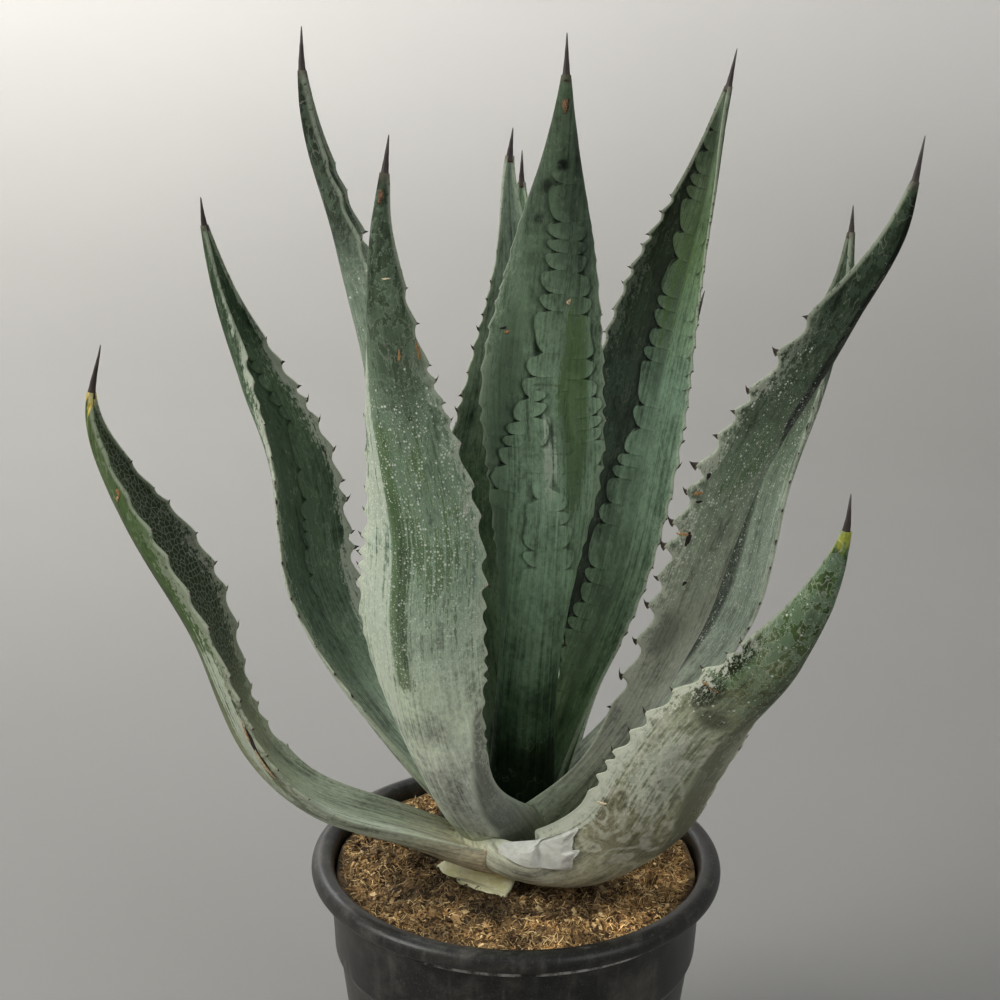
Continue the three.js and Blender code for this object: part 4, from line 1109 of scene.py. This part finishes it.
def blade_rings(leaf, step=BLADE_STEP, columns=FACE_COLUMNS, grow=0.0):
    """The rings of a blade, and what its finish reads at each of their points."""
    s = blade_stations(leaf, step)[:, None]
    u, face, shift = blade_columns(columns).T[:, None]
    t = s / leaf.blade
    margin = np.sign(u)
    wave = np.where(margin > 0, margin_wave(leaf, 1, t), margin_wave(leaf, -1, t))
    near = np.clip((np.abs(u) - 0.66) / 0.34, 0, 1) ** 2
    closing = np.clip((1 - t) * 30, 0, 1)
    out = margin * (wave * near * closing + shift + grow * (np.abs(u) == 1))
    half = leaf.half_width(t)
    across = u * half
    swell = 0.38 * ripple(across + 400 * leaf.index, s, leaf.index, 30, 80)
    ribs = 0.1 * ripple(across, s, 50 + leaf.index, 4.5, 260)
    lift = (swell * face + ribs) * np.clip(1.15 - np.abs(u), 0, 1) * closing * (np.abs(face) == 1)
    look = LOOKS[leaf.name]
    for path, high in look["folds"]:
        away, _ = line_offset(path, t, u, half)
        ends = np.clip(np.minimum(t - path[0][0], path[-1][0] - t) * 12, 0, 1)
        lift = lift + high * np.exp(-np.abs(away) / 7) * ends * (face == -1)
    rings = leaf.point(s, u, face, out, lift + grow)
    u, t, s, half, face = np.broadcast_arrays(u, t, s, half, face)
    values = {"place": np.stack([across + out, s, face * 12], -1), "shares": np.stack([u, t, half], -1),
              "covers": covers(look, t, u, half)}
    if look["prints"]:
        values["prints"] = bud_prints(look, t, u, half, s)
    return rings, values


print("a ring has", len(blade_columns(FACE_COLUMNS)), "points")

# %% [markdown]
# The finish of a leaf is laid on in layers, from the flesh outwards, as it grew: wax, the prints of the bud
# with their painted highlights and shade, painted shade together with the leaf's own dark patches, rubbed
# places, then nets, pebbles, specks, crust and a painted highlight along the margins. One long sum would do
# the same. Layers can be tried one by one, and a leaf takes only those that its look names.

# %% Wax and prints
# No two leaves read the same stretch of the noises
NOISE_SHIFT = 91.7


def leaf_grain(made, leaf):
    """What the layers of a leaf read: places, the marks from the table, and noises."""
    u, t, half = made.split(made.read("shares", "Vector"))
    dark, green, pale = made.split(made.read("covers", "Vector"))
    spot = made.moved(made.read("place", "Vector"), (leaf.index * NOISE_SHIFT, 0, 0))

    def noise(across, along, detail, rough):
        return made.noise(made.times(spot, (across, along, 1)), 1, detail, rough, "2D")

    streak = noise(0.62, 0.008, 2, 0.7)
    patch = noise(0.07, 0.03, 3, 0.7)
    mottle = noise(0.5, 0.25, 2, 0.8)
    fray = (patch - 0.5) * 1.3 + (streak - 0.5) * 1.3 + (mottle - 0.5) * 0.8
    return SimpleNamespace(
        t=t, edge=(1 - abs(u)) * half, dark=dark, green=green, pale=pale, spot=spot, noise=noise,
        streak=streak, patch=patch, mottle=mottle, fray=fray)


def wax_layer(made, at, look):
    """The tones along the leaf, with green and pale marks, in streaks and patches of wax."""
    along = at.t + (at.streak - 0.5) * 0.05 + (at.patch - 0.5) * 0.08
    wax = made.node("ValToRGB", {"stops": look["tones"]}, {0: along})
    green = (at.green + at.fray).step(0.4, 0.65) * at.green.step(0, 0.3)
    pale = (at.pale + at.fray).step(0.4, 0.75) * at.pale.step(0, 0.3)
    bare = ((at.streak * 0.9 + at.patch * 0.5 + at.mottle * 0.3 - 0.85) * 2.4 + look["wax"]).step(0.5, 0.0)
    colour = made.shade(wax, at.mottle * 0.9 + at.patch * 1.7 + at.streak * 0.9 - 0.72)
    colour = made.mix(green * 0.75, colour, TONES["leafy"])
    colour = made.mix(pale * 0.7, colour, TONES["bloom"])
    return made.mix(bare * 0.35, colour, made.shade(colour, 0.5))


def print_layer(made, look, colour, height):
    """Scallops: a raised lobe with a painted highlight, a painted shadow line and shade beside it, and
    shadow between two.
    """
    away, count, strength = made.split(made.read("prints", "Vector"))
    turn = count.part()
    rim = away - ((turn ** 0.7) * math.pi).sine() ** 0.6 * look["throw"]
    lobe = rim.step(0.3, -0.3)
    hollow = rim.step(-0.2, 0.3) * rim.step(9, 0)
    beside = rim.step(-0.2, 0.3) * rim.step(2.6, 0.3) * turn.step(0.0, 0.5)
    notch_shade = (abs(turn - 0.5) - 0.5 + (away + 1.6) * 0.03).step(0.0, 0.02)
    notch_shade = notch_shade * away.step(4, 2) * away.step(-2, -1)
    # Painted light: a highlight inside the lobe's rim, painted shade in the hollow, a painted shadow line,
    # and painted shadow between two scallops
    colour = made.mix(lobe * rim.step(-9, -0.5) * strength * 0.22, colour, made.shade(colour, 1.8))
    colour = made.mix(hollow * strength * 0.4, colour, made.shade(colour, 0.45))
    colour = made.mix(beside * strength * 0.6, colour, TONES["deep"])
    colour = made.mix(notch_shade * strength * 0.85, colour, TONES["ink"])
    return colour, height + rim.step(0.6, -0.6) * rim.step(-12, -2) * strength * 1.6, lobe


print("wax and prints ready")

# %% [markdown]
# Four more layers are found on some leaves only: rings of dried wax, a pale net over grey blotches,
# pebbles where a leaf has shrunk, and white specks. Pictures of real leaves could be laid over them, but
# those would stretch at the bends. A pattern of cells in the leaf's own lengths doesn't.

# %% Layers that only some leaves have
def swirl_layer(made, at, colour, strength):
    """Pale rings of dried wax."""
    broad = at.noise(0.05, 0.035, 1, 0.5)
    ring = (broad * 30 + at.patch * 9).sine().step(-0.3, 1.0) * at.t.step(0.66, 0.6) * at.t.step(0.18, 0.3)
    return made.mix(ring * strength * at.dark.step(0.6, 0.2) * (at.mottle + 0.3), colour, TONES["chalk"])


def net_layer(made, at, colour, low, high, strength):
    """Grey blotches with a fine pale net between them."""
    fine = at.noise(0.2, 0.13, 3, 0.75)
    start = at.t.step(low, low + 0.1)
    line = abs(fine - 0.5).step(0.035, 0.006) * start * at.t.step(high, high - 0.03)
    blotch = fine.step(0.48, 0.54) * at.patch.step(0.25, 0.5) * start
    colour = made.mix(blotch * strength * 0.5 * at.dark.step(0.8, 0.3), colour, TONES["sage"])
    return made.mix(line * strength * 0.6, colour, TONES["mist"])


def pebble_layer(made, at, colour, strength):
    """Small dark pebbles with pale seams, where a leaf has shrunk."""
    seam = made.cells(made.times(at.spot, (1, 0.6, 1)), 0.5, "DISTANCE_TO_EDGE").step(0.16, 0.02)
    return made.mix(seam * at.dark.step(0.05, 0.4) * at.mottle * strength, colour, TONES["pebble"])


def speck_layer(made, at, colour, low, high, strength):
    """Round white specks of uneven size."""
    grains = made.cells(made.times(at.spot, (1.0, 0.85, 1)), 0.8)
    pick, girth = made.split(grains.also("Color"))[:2]
    chance = (at.patch * 1.1 + at.mottle * 0.4).step(0.45, 0.9)
    chance = chance * at.t.step(low, low + 0.08) * at.t.step(high, high - 0.1)
    speck = grains.step(girth ** 4 * 0.6 + 0.14, 0.03) * (chance * strength - pick).step(-0.02, 0.06)
    return made.mix(speck * 0.9, colour, TONES["speck"])


LAYERS = dict(swirl=swirl_layer, net=net_layer, pebbled=pebble_layer, specks=speck_layer)
print("further layers:", ", ".join(LAYERS))

# %% [markdown]
# The layers are now put together in the order in which they lie on the leaf. The crust and the painted
# highlight along the margins come last, because they lie over all the rest. The tips wither to a dull brown,
# but for the yellow ones of two old leaves.

# %% The finish of a leaf
YELLOW_TIPS = {"front_right", "left_low"}


def leaf_finish(leaf, look):
    made = Finish("skin_" + leaf.name, Specular_IOR_Level=0.06)
    at = leaf_grain(made, leaf)
    colour = wax_layer(made, at, look)
    height = at.mottle * 0.6
    # Painted shade from the dark marks, together with the leaf's own dark patches
    shade_and_dark_patches = (at.dark + at.fray * 0.8).step(0.2, 0.7) * at.dark.step(0, 0.2) * at.dark.step(-0.4, 1.2)
    if look["prints"]:
        colour, height, lobe = print_layer(made, look, colour, height)
        shade_and_dark_patches = shade_and_dark_patches * (1 - lobe * 0.4)
    colour = made.mix(shade_and_dark_patches, colour, made.shade(colour, 0.14))
    worn = at.patch.step(0.55, 0.575) * at.t.step(0.15, 0.45) * look["worn"]
    brink = abs(at.patch - 0.545).step(0.012, 0.002) * look["worn"]
    colour = made.mix(worn * 0.45, colour, made.shade(colour, 0.5))
    colour = made.mix(brink * 0.22, colour, TONES["chalk"])
    for key, layer in LAYERS.items():
        if look[key]:
            colour = layer(made, at, colour, *look[key])
    crust = (at.mottle * 0.7 + at.patch * 0.6 - at.edge * 0.03).step(0.5, 0.6)
    crust = crust * at.t.step(0.85, 0.7) * at.t.step(0.1, 0.25) * look["crust"]
    colour = made.mix((crust * 0.6).least(1.0), colour, TONES["crust"])
    # A painted highlight along the rounded margins
    colour = made.mix(at.edge.step(1.6, 0.3) * at.mottle.step(0.2, 0.45) * 0.5, colour, TONES["margin_highlight"])
    if leaf.name not in YELLOW_TIPS:
        colour = made.mix(at.t.step(0.985, 1.0) * 0.6, colour, TONES["withered"])
    return made.surface(colour, 0.46 + crust * 0.3 + at.mottle * 0.16, height, 0.7, 0.0009)


print("a leaf takes its layers from its look")

# %% [markdown]
# ## The blades
# On the plant the base of each leaf clasps the younger ones inside it. Two skins that pass through each
# other would show a hard line there and leave flesh inside flesh. So each blade is cut back by every
# leaf outside it, grown by a small gap, and only its biggest part is kept. Leaves that can hardly be
# seen use wider steps.

# %% Make the blades
QUIET = {"back_low", "back_tall"}
GAP = 0.3
CUTTER_STEP = 5.0
CUTTER_COLUMNS = 18
BLADE_SHARP = math.radians(62)


def largest_part(mesh):
    """Leave only the biggest connected part of a mesh."""
    edges = np.empty(len(mesh.edges) * 2, int)
    mesh.edges.foreach_get("vertices", edges)
    one, two = edges.reshape(-1, 2).T
    label = np.arange(len(mesh.vertices))
    while True:
        low = np.minimum(label[one], label[two])
        lower = label.copy()
        np.minimum.at(lower, one, low)
        np.minimum.at(lower, two, low)
        lower = lower[lower]
        if (lower == label).all():
            break
        label = lower
    keep = np.bincount(label).argmax()
    if (label != keep).any():
        shape = bmesh.new()
        shape.from_mesh(mesh)
        shape.verts.ensure_lookup_table()
        lost = [shape.verts[i] for i in np.flatnonzero(label != keep)]
        bmesh.ops.delete(shape, geom=lost, context="VERTS")
        shape.to_mesh(mesh)
        shape.free()


def cut_back(made, cutters):
    """Take the cutters out of a piece, and keep what still hangs together."""
    for cutter in cutters:
        change = made.modifiers.new("cut", "BOOLEAN")
        change.operation = "DIFFERENCE"
        change.solver = "MANIFOLD"
        change.object = cutter
    seen = made.evaluated_get(bpy.context.evaluated_depsgraph_get())
    mesh = bpy.data.meshes.new_from_object(seen)
    made.modifiers.clear()
    made.data = mesh
    largest_part(mesh)
    mesh.set_sharp_from_angle(angle=BLADE_SHARP)


total = 0
cutters = []
for name, leaf in leaves.items():
    wide = 2 if name in QUIET else 1
    rings, values = blade_rings(leaf, BLADE_STEP * wide, FACE_COLUMNS // wide)
    points, faces = skin(rings)
    values = {key: spread(value) for key, value in values.items()}
    made = add_piece(
        "blade_" + name, points, faces, leaf_finish(leaf, LOOKS[name]), ["leaf_" + name], values)
    cut_back(made, cutters)
    total += len(made.data.polygons)
    points, faces = skin(blade_rings(leaf, CUTTER_STEP, CUTTER_COLUMNS, GAP)[0])
    mesh = bpy.data.meshes.new("cutter")
    mesh.from_pydata((points * MM).tolist(), [], faces)
    cutter = bpy.data.objects.new("cutter_" + name, mesh)
    bpy.context.scene.collection.objects.link(cutter)
    cutters.append(cutter)
for cutter in cutters:
    bpy.data.objects.remove(cutter)
print("blades:", total, "faces")

# %% [markdown]
# ## Teeth and end spines
# Teeth and spines are horn: brown, smooth and harder than the leaf. A tooth is a flat cone on its rise
# of the margin, hooked up or down the leaf. Copies of one tooth would do from afar; each one is built
# from its own size and lean, so that its root lies in the margin.

# %% Horn
def horn_finish(name, root, body, tip):
    """Horn that goes from the tone of its root to that of its tip."""
    made = Finish(name)
    place = made.node("TexCoord", out="Object")
    share = made.read("tone")
    grain = made.noise(made.times(place, (1, 1, 0.3)), 900, 3.0, 0.65)
    colour = made.mix((share + (grain - 0.5) * 0.3).step(0.0, 0.35), root, body)
    colour = made.mix((share + (grain - 0.5) * 0.4).step(0.5, 1.0), colour, tip)
    colour = made.shade(colour, 0.65 + grain * 0.7)
    return made.surface(colour, 0.42 + grain * 0.25, grain, 0.3, 0.0003)


tooth_horn = horn_finish("tooth_horn", (0.16, 0.13, 0.08), (0.045, 0.028, 0.02), (0.018, 0.013, 0.011))
spine_horn = horn_finish("spine_horn", (0.045, 0.026, 0.018), (0.022, 0.014, 0.012), (0.09, 0.08, 0.07))


def tooth_points(leaf, margin, t, size, lean, sides=8, rows=7):
    """The rings of one hooked tooth."""
    s = t * leaf.blade
    _, along, across, inward = leaf.frame(np.array(s))
    bend = leaf.bend(t)
    out = across * margin * np.cos(bend) + inward * np.sin(bend)
    flat = np.cross(out, along)
    crest = margin_wave(leaf, margin, np.array([t]))[0]
    root = leaf.point(s, margin, 0, margin * crest) - out * 0.8
    share = np.linspace(0, 1, rows)
    reach = share * (size * 0.6 + 1.0)
    hook = lean * size * share ** 2.2
    wide = (0.3 * size + 0.35) * (1 - share) ** 1.15 + 0.1
    thick = 0.55 * (1 - share) ** 0.8 + 0.1
    turn = np.arange(sides) * 2 * math.pi / sides
    middle = root + reach[:, None] * out + hook[:, None] * along
    return (middle[:, None] + np.cos(turn)[None, :, None] * wide[:, None, None] * along
            + np.sin(turn)[None, :, None] * thick[:, None, None] * flat)


def joined(parts):
    """Several closed skins as one set of points, faces and tones."""
    points, faces, tones, count = [], [], [], 0
    for rings, tone in parts:
        some, more = skin(rings)
        points.append(some)
        faces += [[corner + count for corner in face] for face in more]
        tones.append(spread(tone))
        count += len(some)
    return np.concatenate(points), faces, np.concatenate(tones)


total = 0
for name, leaf in leaves.items():
    parts = []
    for margin in (-1, 1):
        for t, size, lean in zip(*leaf.rows[margin]):
            rings = tooth_points(leaf, margin, t, size, lean)
            share = np.linspace(0, 1, len(rings))[:, None]
            parts.append((rings, np.repeat(share, rings.shape[1], 1)))
    points, faces, tone = joined(parts)
    add_piece("teeth_" + name, points, faces, tooth_horn, ["leaf_" + name], {"tone": tone})
    total += len(faces)
print("teeth:", total, "faces")

# %% [markdown]
# The end spine is a long round cone with a short groove on its hollow side. It starts inside the tip of
# the blade, as horn grows out of flesh, and weathers to grey. A plain cone would have neither the groove
# nor the slight waist, so the spine is rings too, along the end of the leaf's route.

# %% The end spines
SPINE_RADIUS = 2.3
SPINE_SIDES = 20
SUNK = 3


def spine_rings(place, base=SPINE_RADIUS, tip=0.22, rows=22):
    """The rings of a spine over a function that gives its middle line and two cross directions."""
    share = np.linspace(0, 1, rows)
    at, across, inward = place(share)
    radius = tip + (base - tip) * (1 - share ** 0.9) * (1 - 0.12 * np.sin(np.pi * share))
    radius = radius * (1 + 0.03 * np.sin(share * 23))
    turn = np.arange(SPINE_SIDES) * 2 * math.pi / SPINE_SIDES
    groove = 1 - 0.22 * np.exp(-((turn - math.pi / 2) / 0.5) ** 2) * np.clip(1 - share, 0, 1)[:, None]
    reach = radius[:, None] * groove
    rings = at[:, None] + (np.cos(turn) * reach)[..., None] * across[:, None]
    rings = rings + (np.sin(turn) * reach)[..., None] * inward[:, None]
    return rings, np.repeat(share[:, None], SPINE_SIDES, 1)


for name, leaf in leaves.items():
    def place(share, leaf=leaf):
        at, _, across, inward = leaf.frame(leaf.blade - SUNK + share * (leaf.spine + SUNK))
        return at + inward * 0.4 * (1 - share[:, None]), across, inward

    rings, tone = spine_rings(place)
    points, faces = skin(rings)
    add_piece(
        "end_spine_" + name, points, faces, spine_horn, ["spine_" + name], {"tone": spread(tone)})
print("spines:", len(leaves))

# %% [markdown]
# Here and there something has torn the skin. A torn place is a small dark pit with curled, corky orange
# edges. Colour alone would lie flat on the leaf, so each of them is a thin irregular lens on the skin: a
# dark one for the pit, and paler, thicker ones for its edges.

# %% Torn places
# All of them are on the outer face: share of length and of half width, length and width in millimetres,
# turn in degrees, and tone
OUTER = -1
TEARS = {
    "front_left": [
        (0.887, 0.42, 5.5, 0.9, 80, 1.0), (0.805, 0.38, 6.0, 2.2, 8, 0.0),
        (0.803, 0.46, 6.5, 1.3, 12, 0.6), (0.805, 0.91, 8.5, 1.6, 5, 0.5), (0.975, 0.3, 6.0, 1.6, 0, 0.3)],
    "bud_front": [
        (0.965, 0.0, 6.5, 1.8, 0, 0.35), (0.966, 0.12, 5.5, 1.0, 5, 0.0),
        (0.733, 0.28, 3.0, 1.8, 20, 0.9), (0.733, 0.28, 2.4, 1.1, 20, 0.0),
        (0.688, -0.64, 3.4, 1.6, 60, 0.6), (0.692, -0.72, 4.0, 1.3, 70, 0.0)],
    "right_tall": [
        (0.864, 0.6, 5.0, 1.2, 20, 0.6), (0.862, 0.56, 4.0, 0.9, 40, 0.0),
        (0.624, -0.9, 5.5, 1.8, 0, 0.0), (0.6, -0.93, 5.0, 2.0, 70, 0.6),
        (0.592, -0.86, 5.0, 1.4, 60, 0.0), (0.545, -0.84, 8.0, 2.4, 0, 0.0),
        (0.55, -0.92, 6.0, 1.5, 85, 0.75), (0.49, -0.7, 2.6, 1.8, 40, 0.0)],
    "front_right": [
        (0.697, -0.84, 4.0, 1.1, 70, 0.6), (0.7, -0.66, 7.0, 0.9, 65, 0.4),
        (0.699, -0.62, 6.0, 1.6, 60, 0.0), (0.4, -0.78, 6.0, 1.6, 50, 0.98)],
    "left_low": [
        (0.865, 0.85, 4.5, 1.6, 10, 0.5), (0.858, 0.75, 3.0, 1.0, 30, 0.8),
        (0.47, 0.9, 34.0, 2.8, 2, 0.0), (0.44, 0.87, 20.0, 1.5, 3, 0.85), (0.5, 0.88, 14.0, 1.1, 4, 0.8)],
}
TEAR_SIDES = 18


def tear_rings(leaf, t, u, long, wide, turn, tone, seed):
    """Rings of a thin lens on the skin: its underside, its rim and its top."""
    angle = np.arange(TEAR_SIDES) * 2 * math.pi / TEAR_SIDES
    ragged = 1 + 0.18 * np.sin(3 * angle + seed) + 0.12 * np.sin(7 * angle + 2 * seed)
    rings = []
    sizes = (0.25, 0.9, 1.0, 0.75, 0.25)
    lifts = (-0.5, -0.3, 0.05, 0.12 + 0.5 * tone, 0.15 + 0.4 * tone)
    c, s = math.cos(math.radians(turn)), math.sin(math.radians(turn))
    for size, lift in zip(sizes, lifts):
        x = np.cos(angle) * long / 2 * size * ragged
        y = np.sin(angle) * wide / 2 * size * ragged
        across = u + (x * s + y * c) / leaf.half_width(t)
        rings.append(leaf.point(t * leaf.blade + x * c - y * s, across, OUTER, 0, lift))
    return np.stack(rings)


def torn_finish():
    made = Finish("torn_skin")
    tone = made.read("tone")
    grain = made.noise(made.node("TexCoord", out="Object"), 1400, 2.0, 0.6)
    stops = [(0.0, (0.008, 0.006, 0.005)), (0.25, (0.06, 0.028, 0.014)), (0.5, (0.27, 0.14, 0.045)),
             (0.75, (0.42, 0.24, 0.1)), (1.0, (0.78, 0.68, 0.46))]
    colour = made.node("ValToRGB", {"stops": stops}, {0: tone + (grain - 0.5) * 1.1})
    return made.surface(colour, 0.7, grain, 0.4, 0.0003)


parts = []
for name, tears in TEARS.items():
    for tear in tears:
        rings = tear_rings(leaves[name], *tear, len(parts))
        parts.append((rings, np.full(rings.shape[:2], tear[-1])))
points, faces, tone = joined(parts)
add_piece("torn_places", points, faces, torn_finish(), values={"tone": tone})
print("torn places:", len(parts))

# %% [markdown]
# ## The heart
# The youngest leaves are still rolled round each other into a spear. It could be built leaf by leaf, but
# nothing of the inner ones shows. So it is one slender form, turned like the pot, with a seam that winds
# up it where the outermost leaf laps over.

# %% The spear
SPEAR_FOOT = 212
SPEAR_TOP = 505
SPEAR_SPINE = 16
SPEAR_ROWS = 150
SPEAR_SIDES = 48
SPEAR_SPOT = np.array([4, 6, 0])
SPEAR_LEAN = 4
SPEAR_SPINE_RADIUS = 1.95

share = np.linspace(0, 1, SPEAR_ROWS)
turn = np.arange(SPEAR_SIDES) * 2 * math.pi / SPEAR_SIDES
radius = smooth_through([0, 0.2, 0.5, 0.8, 1], [7, 8.5, 8, 4.8, 2], share)
seam = (turn[None] - 5 * share[:, None]) % (2 * math.pi)
overlap = radius[:, None] * (1 + 0.07 * (seam / (2 * math.pi) - 0.5))
spear_rings = turned(overlap, SPEAR_FOOT + (SPEAR_TOP - SPEAR_FOOT) * share, SPEAR_SIDES) + SPEAR_SPOT
spear_rings[..., 0] += SPEAR_LEAN * share[:, None]


def rolled_finish():
    made = Finish("rolled_leaf")
    place = made.node("TexCoord", out="Object")
    streaks = made.noise(made.times(place, (500, 500, 12)), 1, 3.0, 0.6)
    colour = made.mix(streaks.step(0.3, 0.7), (0.1, 0.15, 0.07), (0.34, 0.4, 0.27))
    return made.surface(colour, 0.5, streaks, 0.3, 0.0005)


def spear_end(share):
    """The middle line and the two cross directions of the spear's own spine."""
    at = np.zeros((len(share), 3)) + SPEAR_SPOT + [SPEAR_LEAN, 0, SPEAR_TOP - 2]
    at[:, 2] += share * (SPEAR_SPINE + 2)
    return at, np.tile([1.0, 0, 0], (len(share), 1)), np.tile([0, 1.0, 0], (len(share), 1))


points, faces = skin(spear_rings)
add_piece("rolled_spear", points, faces, rolled_finish(), ["leaf_spear"])
rings, tone = spine_rings(spear_end, SPEAR_SPINE_RADIUS)
points, faces = skin(rings)
add_piece("end_spine_spear", points, faces, spine_horn, ["spine_spear"], {"tone": spread(tone)})
print("spear:", SPEAR_TOP - SPEAR_FOOT, "mm long")

# %% [markdown]
# The short stem carries the scars of leaves that are gone. Grooves all at one level would look turned on
# a lathe; here the bands rise and fall a little as they go round. Its bark, the stump and the scrap are
# all dry tissue, so they share one finish.

# %% The stem
STEM_FOOT = 150
STEM_TOP = 226
STEM_ROWS = 70
STEM_SIDES = 90

height = np.linspace(STEM_FOOT, STEM_TOP, STEM_ROWS)
radius = smooth_through(
    [STEM_FOOT, 166, 179, 194, 212, STEM_TOP], [15, STEM_RADIUS, STEM_RADIUS, 16, 8, 3], height)
turn = np.arange(STEM_SIDES) * 2 * math.pi / STEM_SIDES
scar_bands = 0.35 * np.sin(height[:, None] * 1.1 + 0.8 * np.sin(turn * 3)[None])
stem_rings = turned(radius[:, None] + scar_bands, height, STEM_SIDES)


def dry_finish(name, dark, pale, line):
    """Dry plant tissue with streaks along one direction of the object."""
    made = Finish(name)
    place = made.node("TexCoord", out="Object")
    streaks = made.noise(made.times(place, line), 1, 4.0, 0.65)
    spots = made.noise(place, 260, 4.0, 0.65)
    colour = made.mix(streaks.step(0.3, 0.68), dark, pale)
    colour = made.mix(spots.step(0.58, 0.7) * 0.35, colour, dark)
    return made.surface(colour, 0.75, streaks * 0.6 + spots * 0.4, 0.6, 0.0008)


points, faces = skin(stem_rings)
stem_bark = dry_finish("stem_bark", (0.09, 0.06, 0.035), (0.34, 0.28, 0.18), (120, 120, 700))
add_piece("scarred_stem", points, faces, stem_bark, ["stem"])
print("stem:", len(faces), "faces")

# %% [markdown]
# In front stands the trimmed base of an old leaf: a thick plate that clasps the stem, cut off at a
# slant, pale and dry. It could be one more blade cut short by a boolean. As a plate of its own its
# ragged cut end and its fall to both sides are set directly.

# %% The trimmed base
STUMP = dict(azimuth=230, start=16, reach=41.5, width=47.6, shift=-1.6, thick=4.4, rise=8, drop=5,
             corner=-0.6, fall_left=14, fall_right=4)
STUMP_ROWS = 44
STUMP_COLUMNS = 42
SHARP_ANGLE = math.radians(40)
turn = math.radians(STUMP["azimuth"])
outward = np.array([math.cos(turn), math.sin(turn), 0])
sideways = np.array([-math.sin(turn), math.cos(turn), 0])
walk = np.linspace(0, 1, STUMP_ROWS)[:, None]
reach = STUMP["start"] + (STUMP["reach"] - STUMP["start"]) * walk
half_span = 0.5 * STUMP["width"] * smooth_through(
    [STUMP["start"], 25, 34, STUMP["reach"]], [0.74, 0.84, 0.95, 1.0], reach)


def stump_face(u, face):
    """The upper face of the plate for 1, the lower one for -1."""
    ragged = np.clip((walk - 0.7) / 0.3, 0, 1) * (0.3 * np.cos(8 * u) + 0.2 * np.sin(19 * u))
    fall = np.where(u < STUMP["corner"], STUMP["fall_left"], STUMP["fall_right"])
    bow = reach - walk * fall * np.abs(u - STUMP["corner"]) - ragged
    level = (bow - STUMP["start"]) / (STUMP["reach"] - STUMP["start"])
    z = SOIL_TOP + STUMP["rise"] - STUMP["drop"] * level - u * u + 0.2 * ripple(bow, u * 22, 31, 14, 8)
    thick = 0.5 * STUMP["thick"] * (1 - 0.4 * u * u) * np.sqrt(np.clip((1.02 - np.abs(u)) * 16, 0, 1))
    spot = bow[..., None] * outward + (u * half_span + STUMP["shift"])[..., None] * sideways
    spot[..., 2] = z + face * thick
    return spot


u = np.sin(np.linspace(-1, 1, STUMP_COLUMNS) * math.pi / 2)[None]
stump_rings = np.concatenate([stump_face(u, 1), stump_face(u[:, ::-1], -1)], 1)
points, faces = skin(stump_rings)
cut_leaf = dry_finish("cut_leaf", (0.74, 0.74, 0.38), (0.95, 0.93, 0.68), (160, 160, 900))
trimmed = add_piece("trimmed_base", points, faces, cut_leaf, ["stump_front"])
trimmed.data.set_sharp_from_angle(angle=SHARP_ANGLE)
print("stump:", len(faces), "faces")

# %% [markdown]
# A dried scrap of another old leaf clings to the base of the front right leaf. A cloth could be draped
# there; the scrap is stiff, so it is laid out in the lengths and half widths of the leaf that it lies
# on, and follows that leaf's outer face with a ragged, fanned end.

# %% The dried scrap
SCRAP = dict(thick=2.2, left=(32, -0.98), top=(101, -0.8), bottom=(80, -0.28))
SCRAP_ROWS = 46
SCRAP_COLUMNS = 60
holder = leaves["front_right"]
down = np.linspace(0, 1, SCRAP_ROWS)[:, None]
along = np.linspace(0, 1, SCRAP_COLUMNS)[None]
row = down * 5
tatter = np.clip(along - 0.8, 0, 1) * 5 * (0.9 * np.abs(np.sin(row * 3.6)) + 0.3 * np.sin(row * 17 + 1))
ragged = 2.4 * np.sin(row * 2.4 + 0.5) + 1.4 * np.sin(row * 4.7) + tatter - 1.5
left, top, bottom = SCRAP["left"], SCRAP["top"], SCRAP["bottom"]
scrap_s = left[0] + (top[0] + (bottom[0] - top[0]) * down + ragged - left[0]) * along
scrap_u = left[1] + 0.16 * down + (top[1] + (bottom[1] - top[1]) * down - left[1] - 0.16 * down) * along
crinkle = 0.05 * ripple(scrap_s, scrap_u * 30, 41, 24, 16)
thin = np.clip((1 - along) * 8, 0.3, 1) * np.clip(np.minimum(down, 1 - down) * 12, 0.3, 1)
under = holder.point(scrap_s, scrap_u, OUTER, 0, GAP)
over = holder.point(scrap_s, scrap_u, OUTER, 0, GAP + SCRAP["thick"] * thin + crinkle)
scrap_rings = np.concatenate([under, over[:, ::-1]], 1)
points, faces = skin(scrap_rings)
dried = dry_finish("dried_scrap", (0.56, 0.57, 0.5), (0.74, 0.75, 0.69), (120, 300, 260))
scrap = add_piece("dried_scrap", points, faces, dried, ["scrap_front"])
scrap.data.set_sharp_from_angle(angle=SHARP_ANGLE)
print("scrap:", len(faces), "faces")

# %% [markdown]
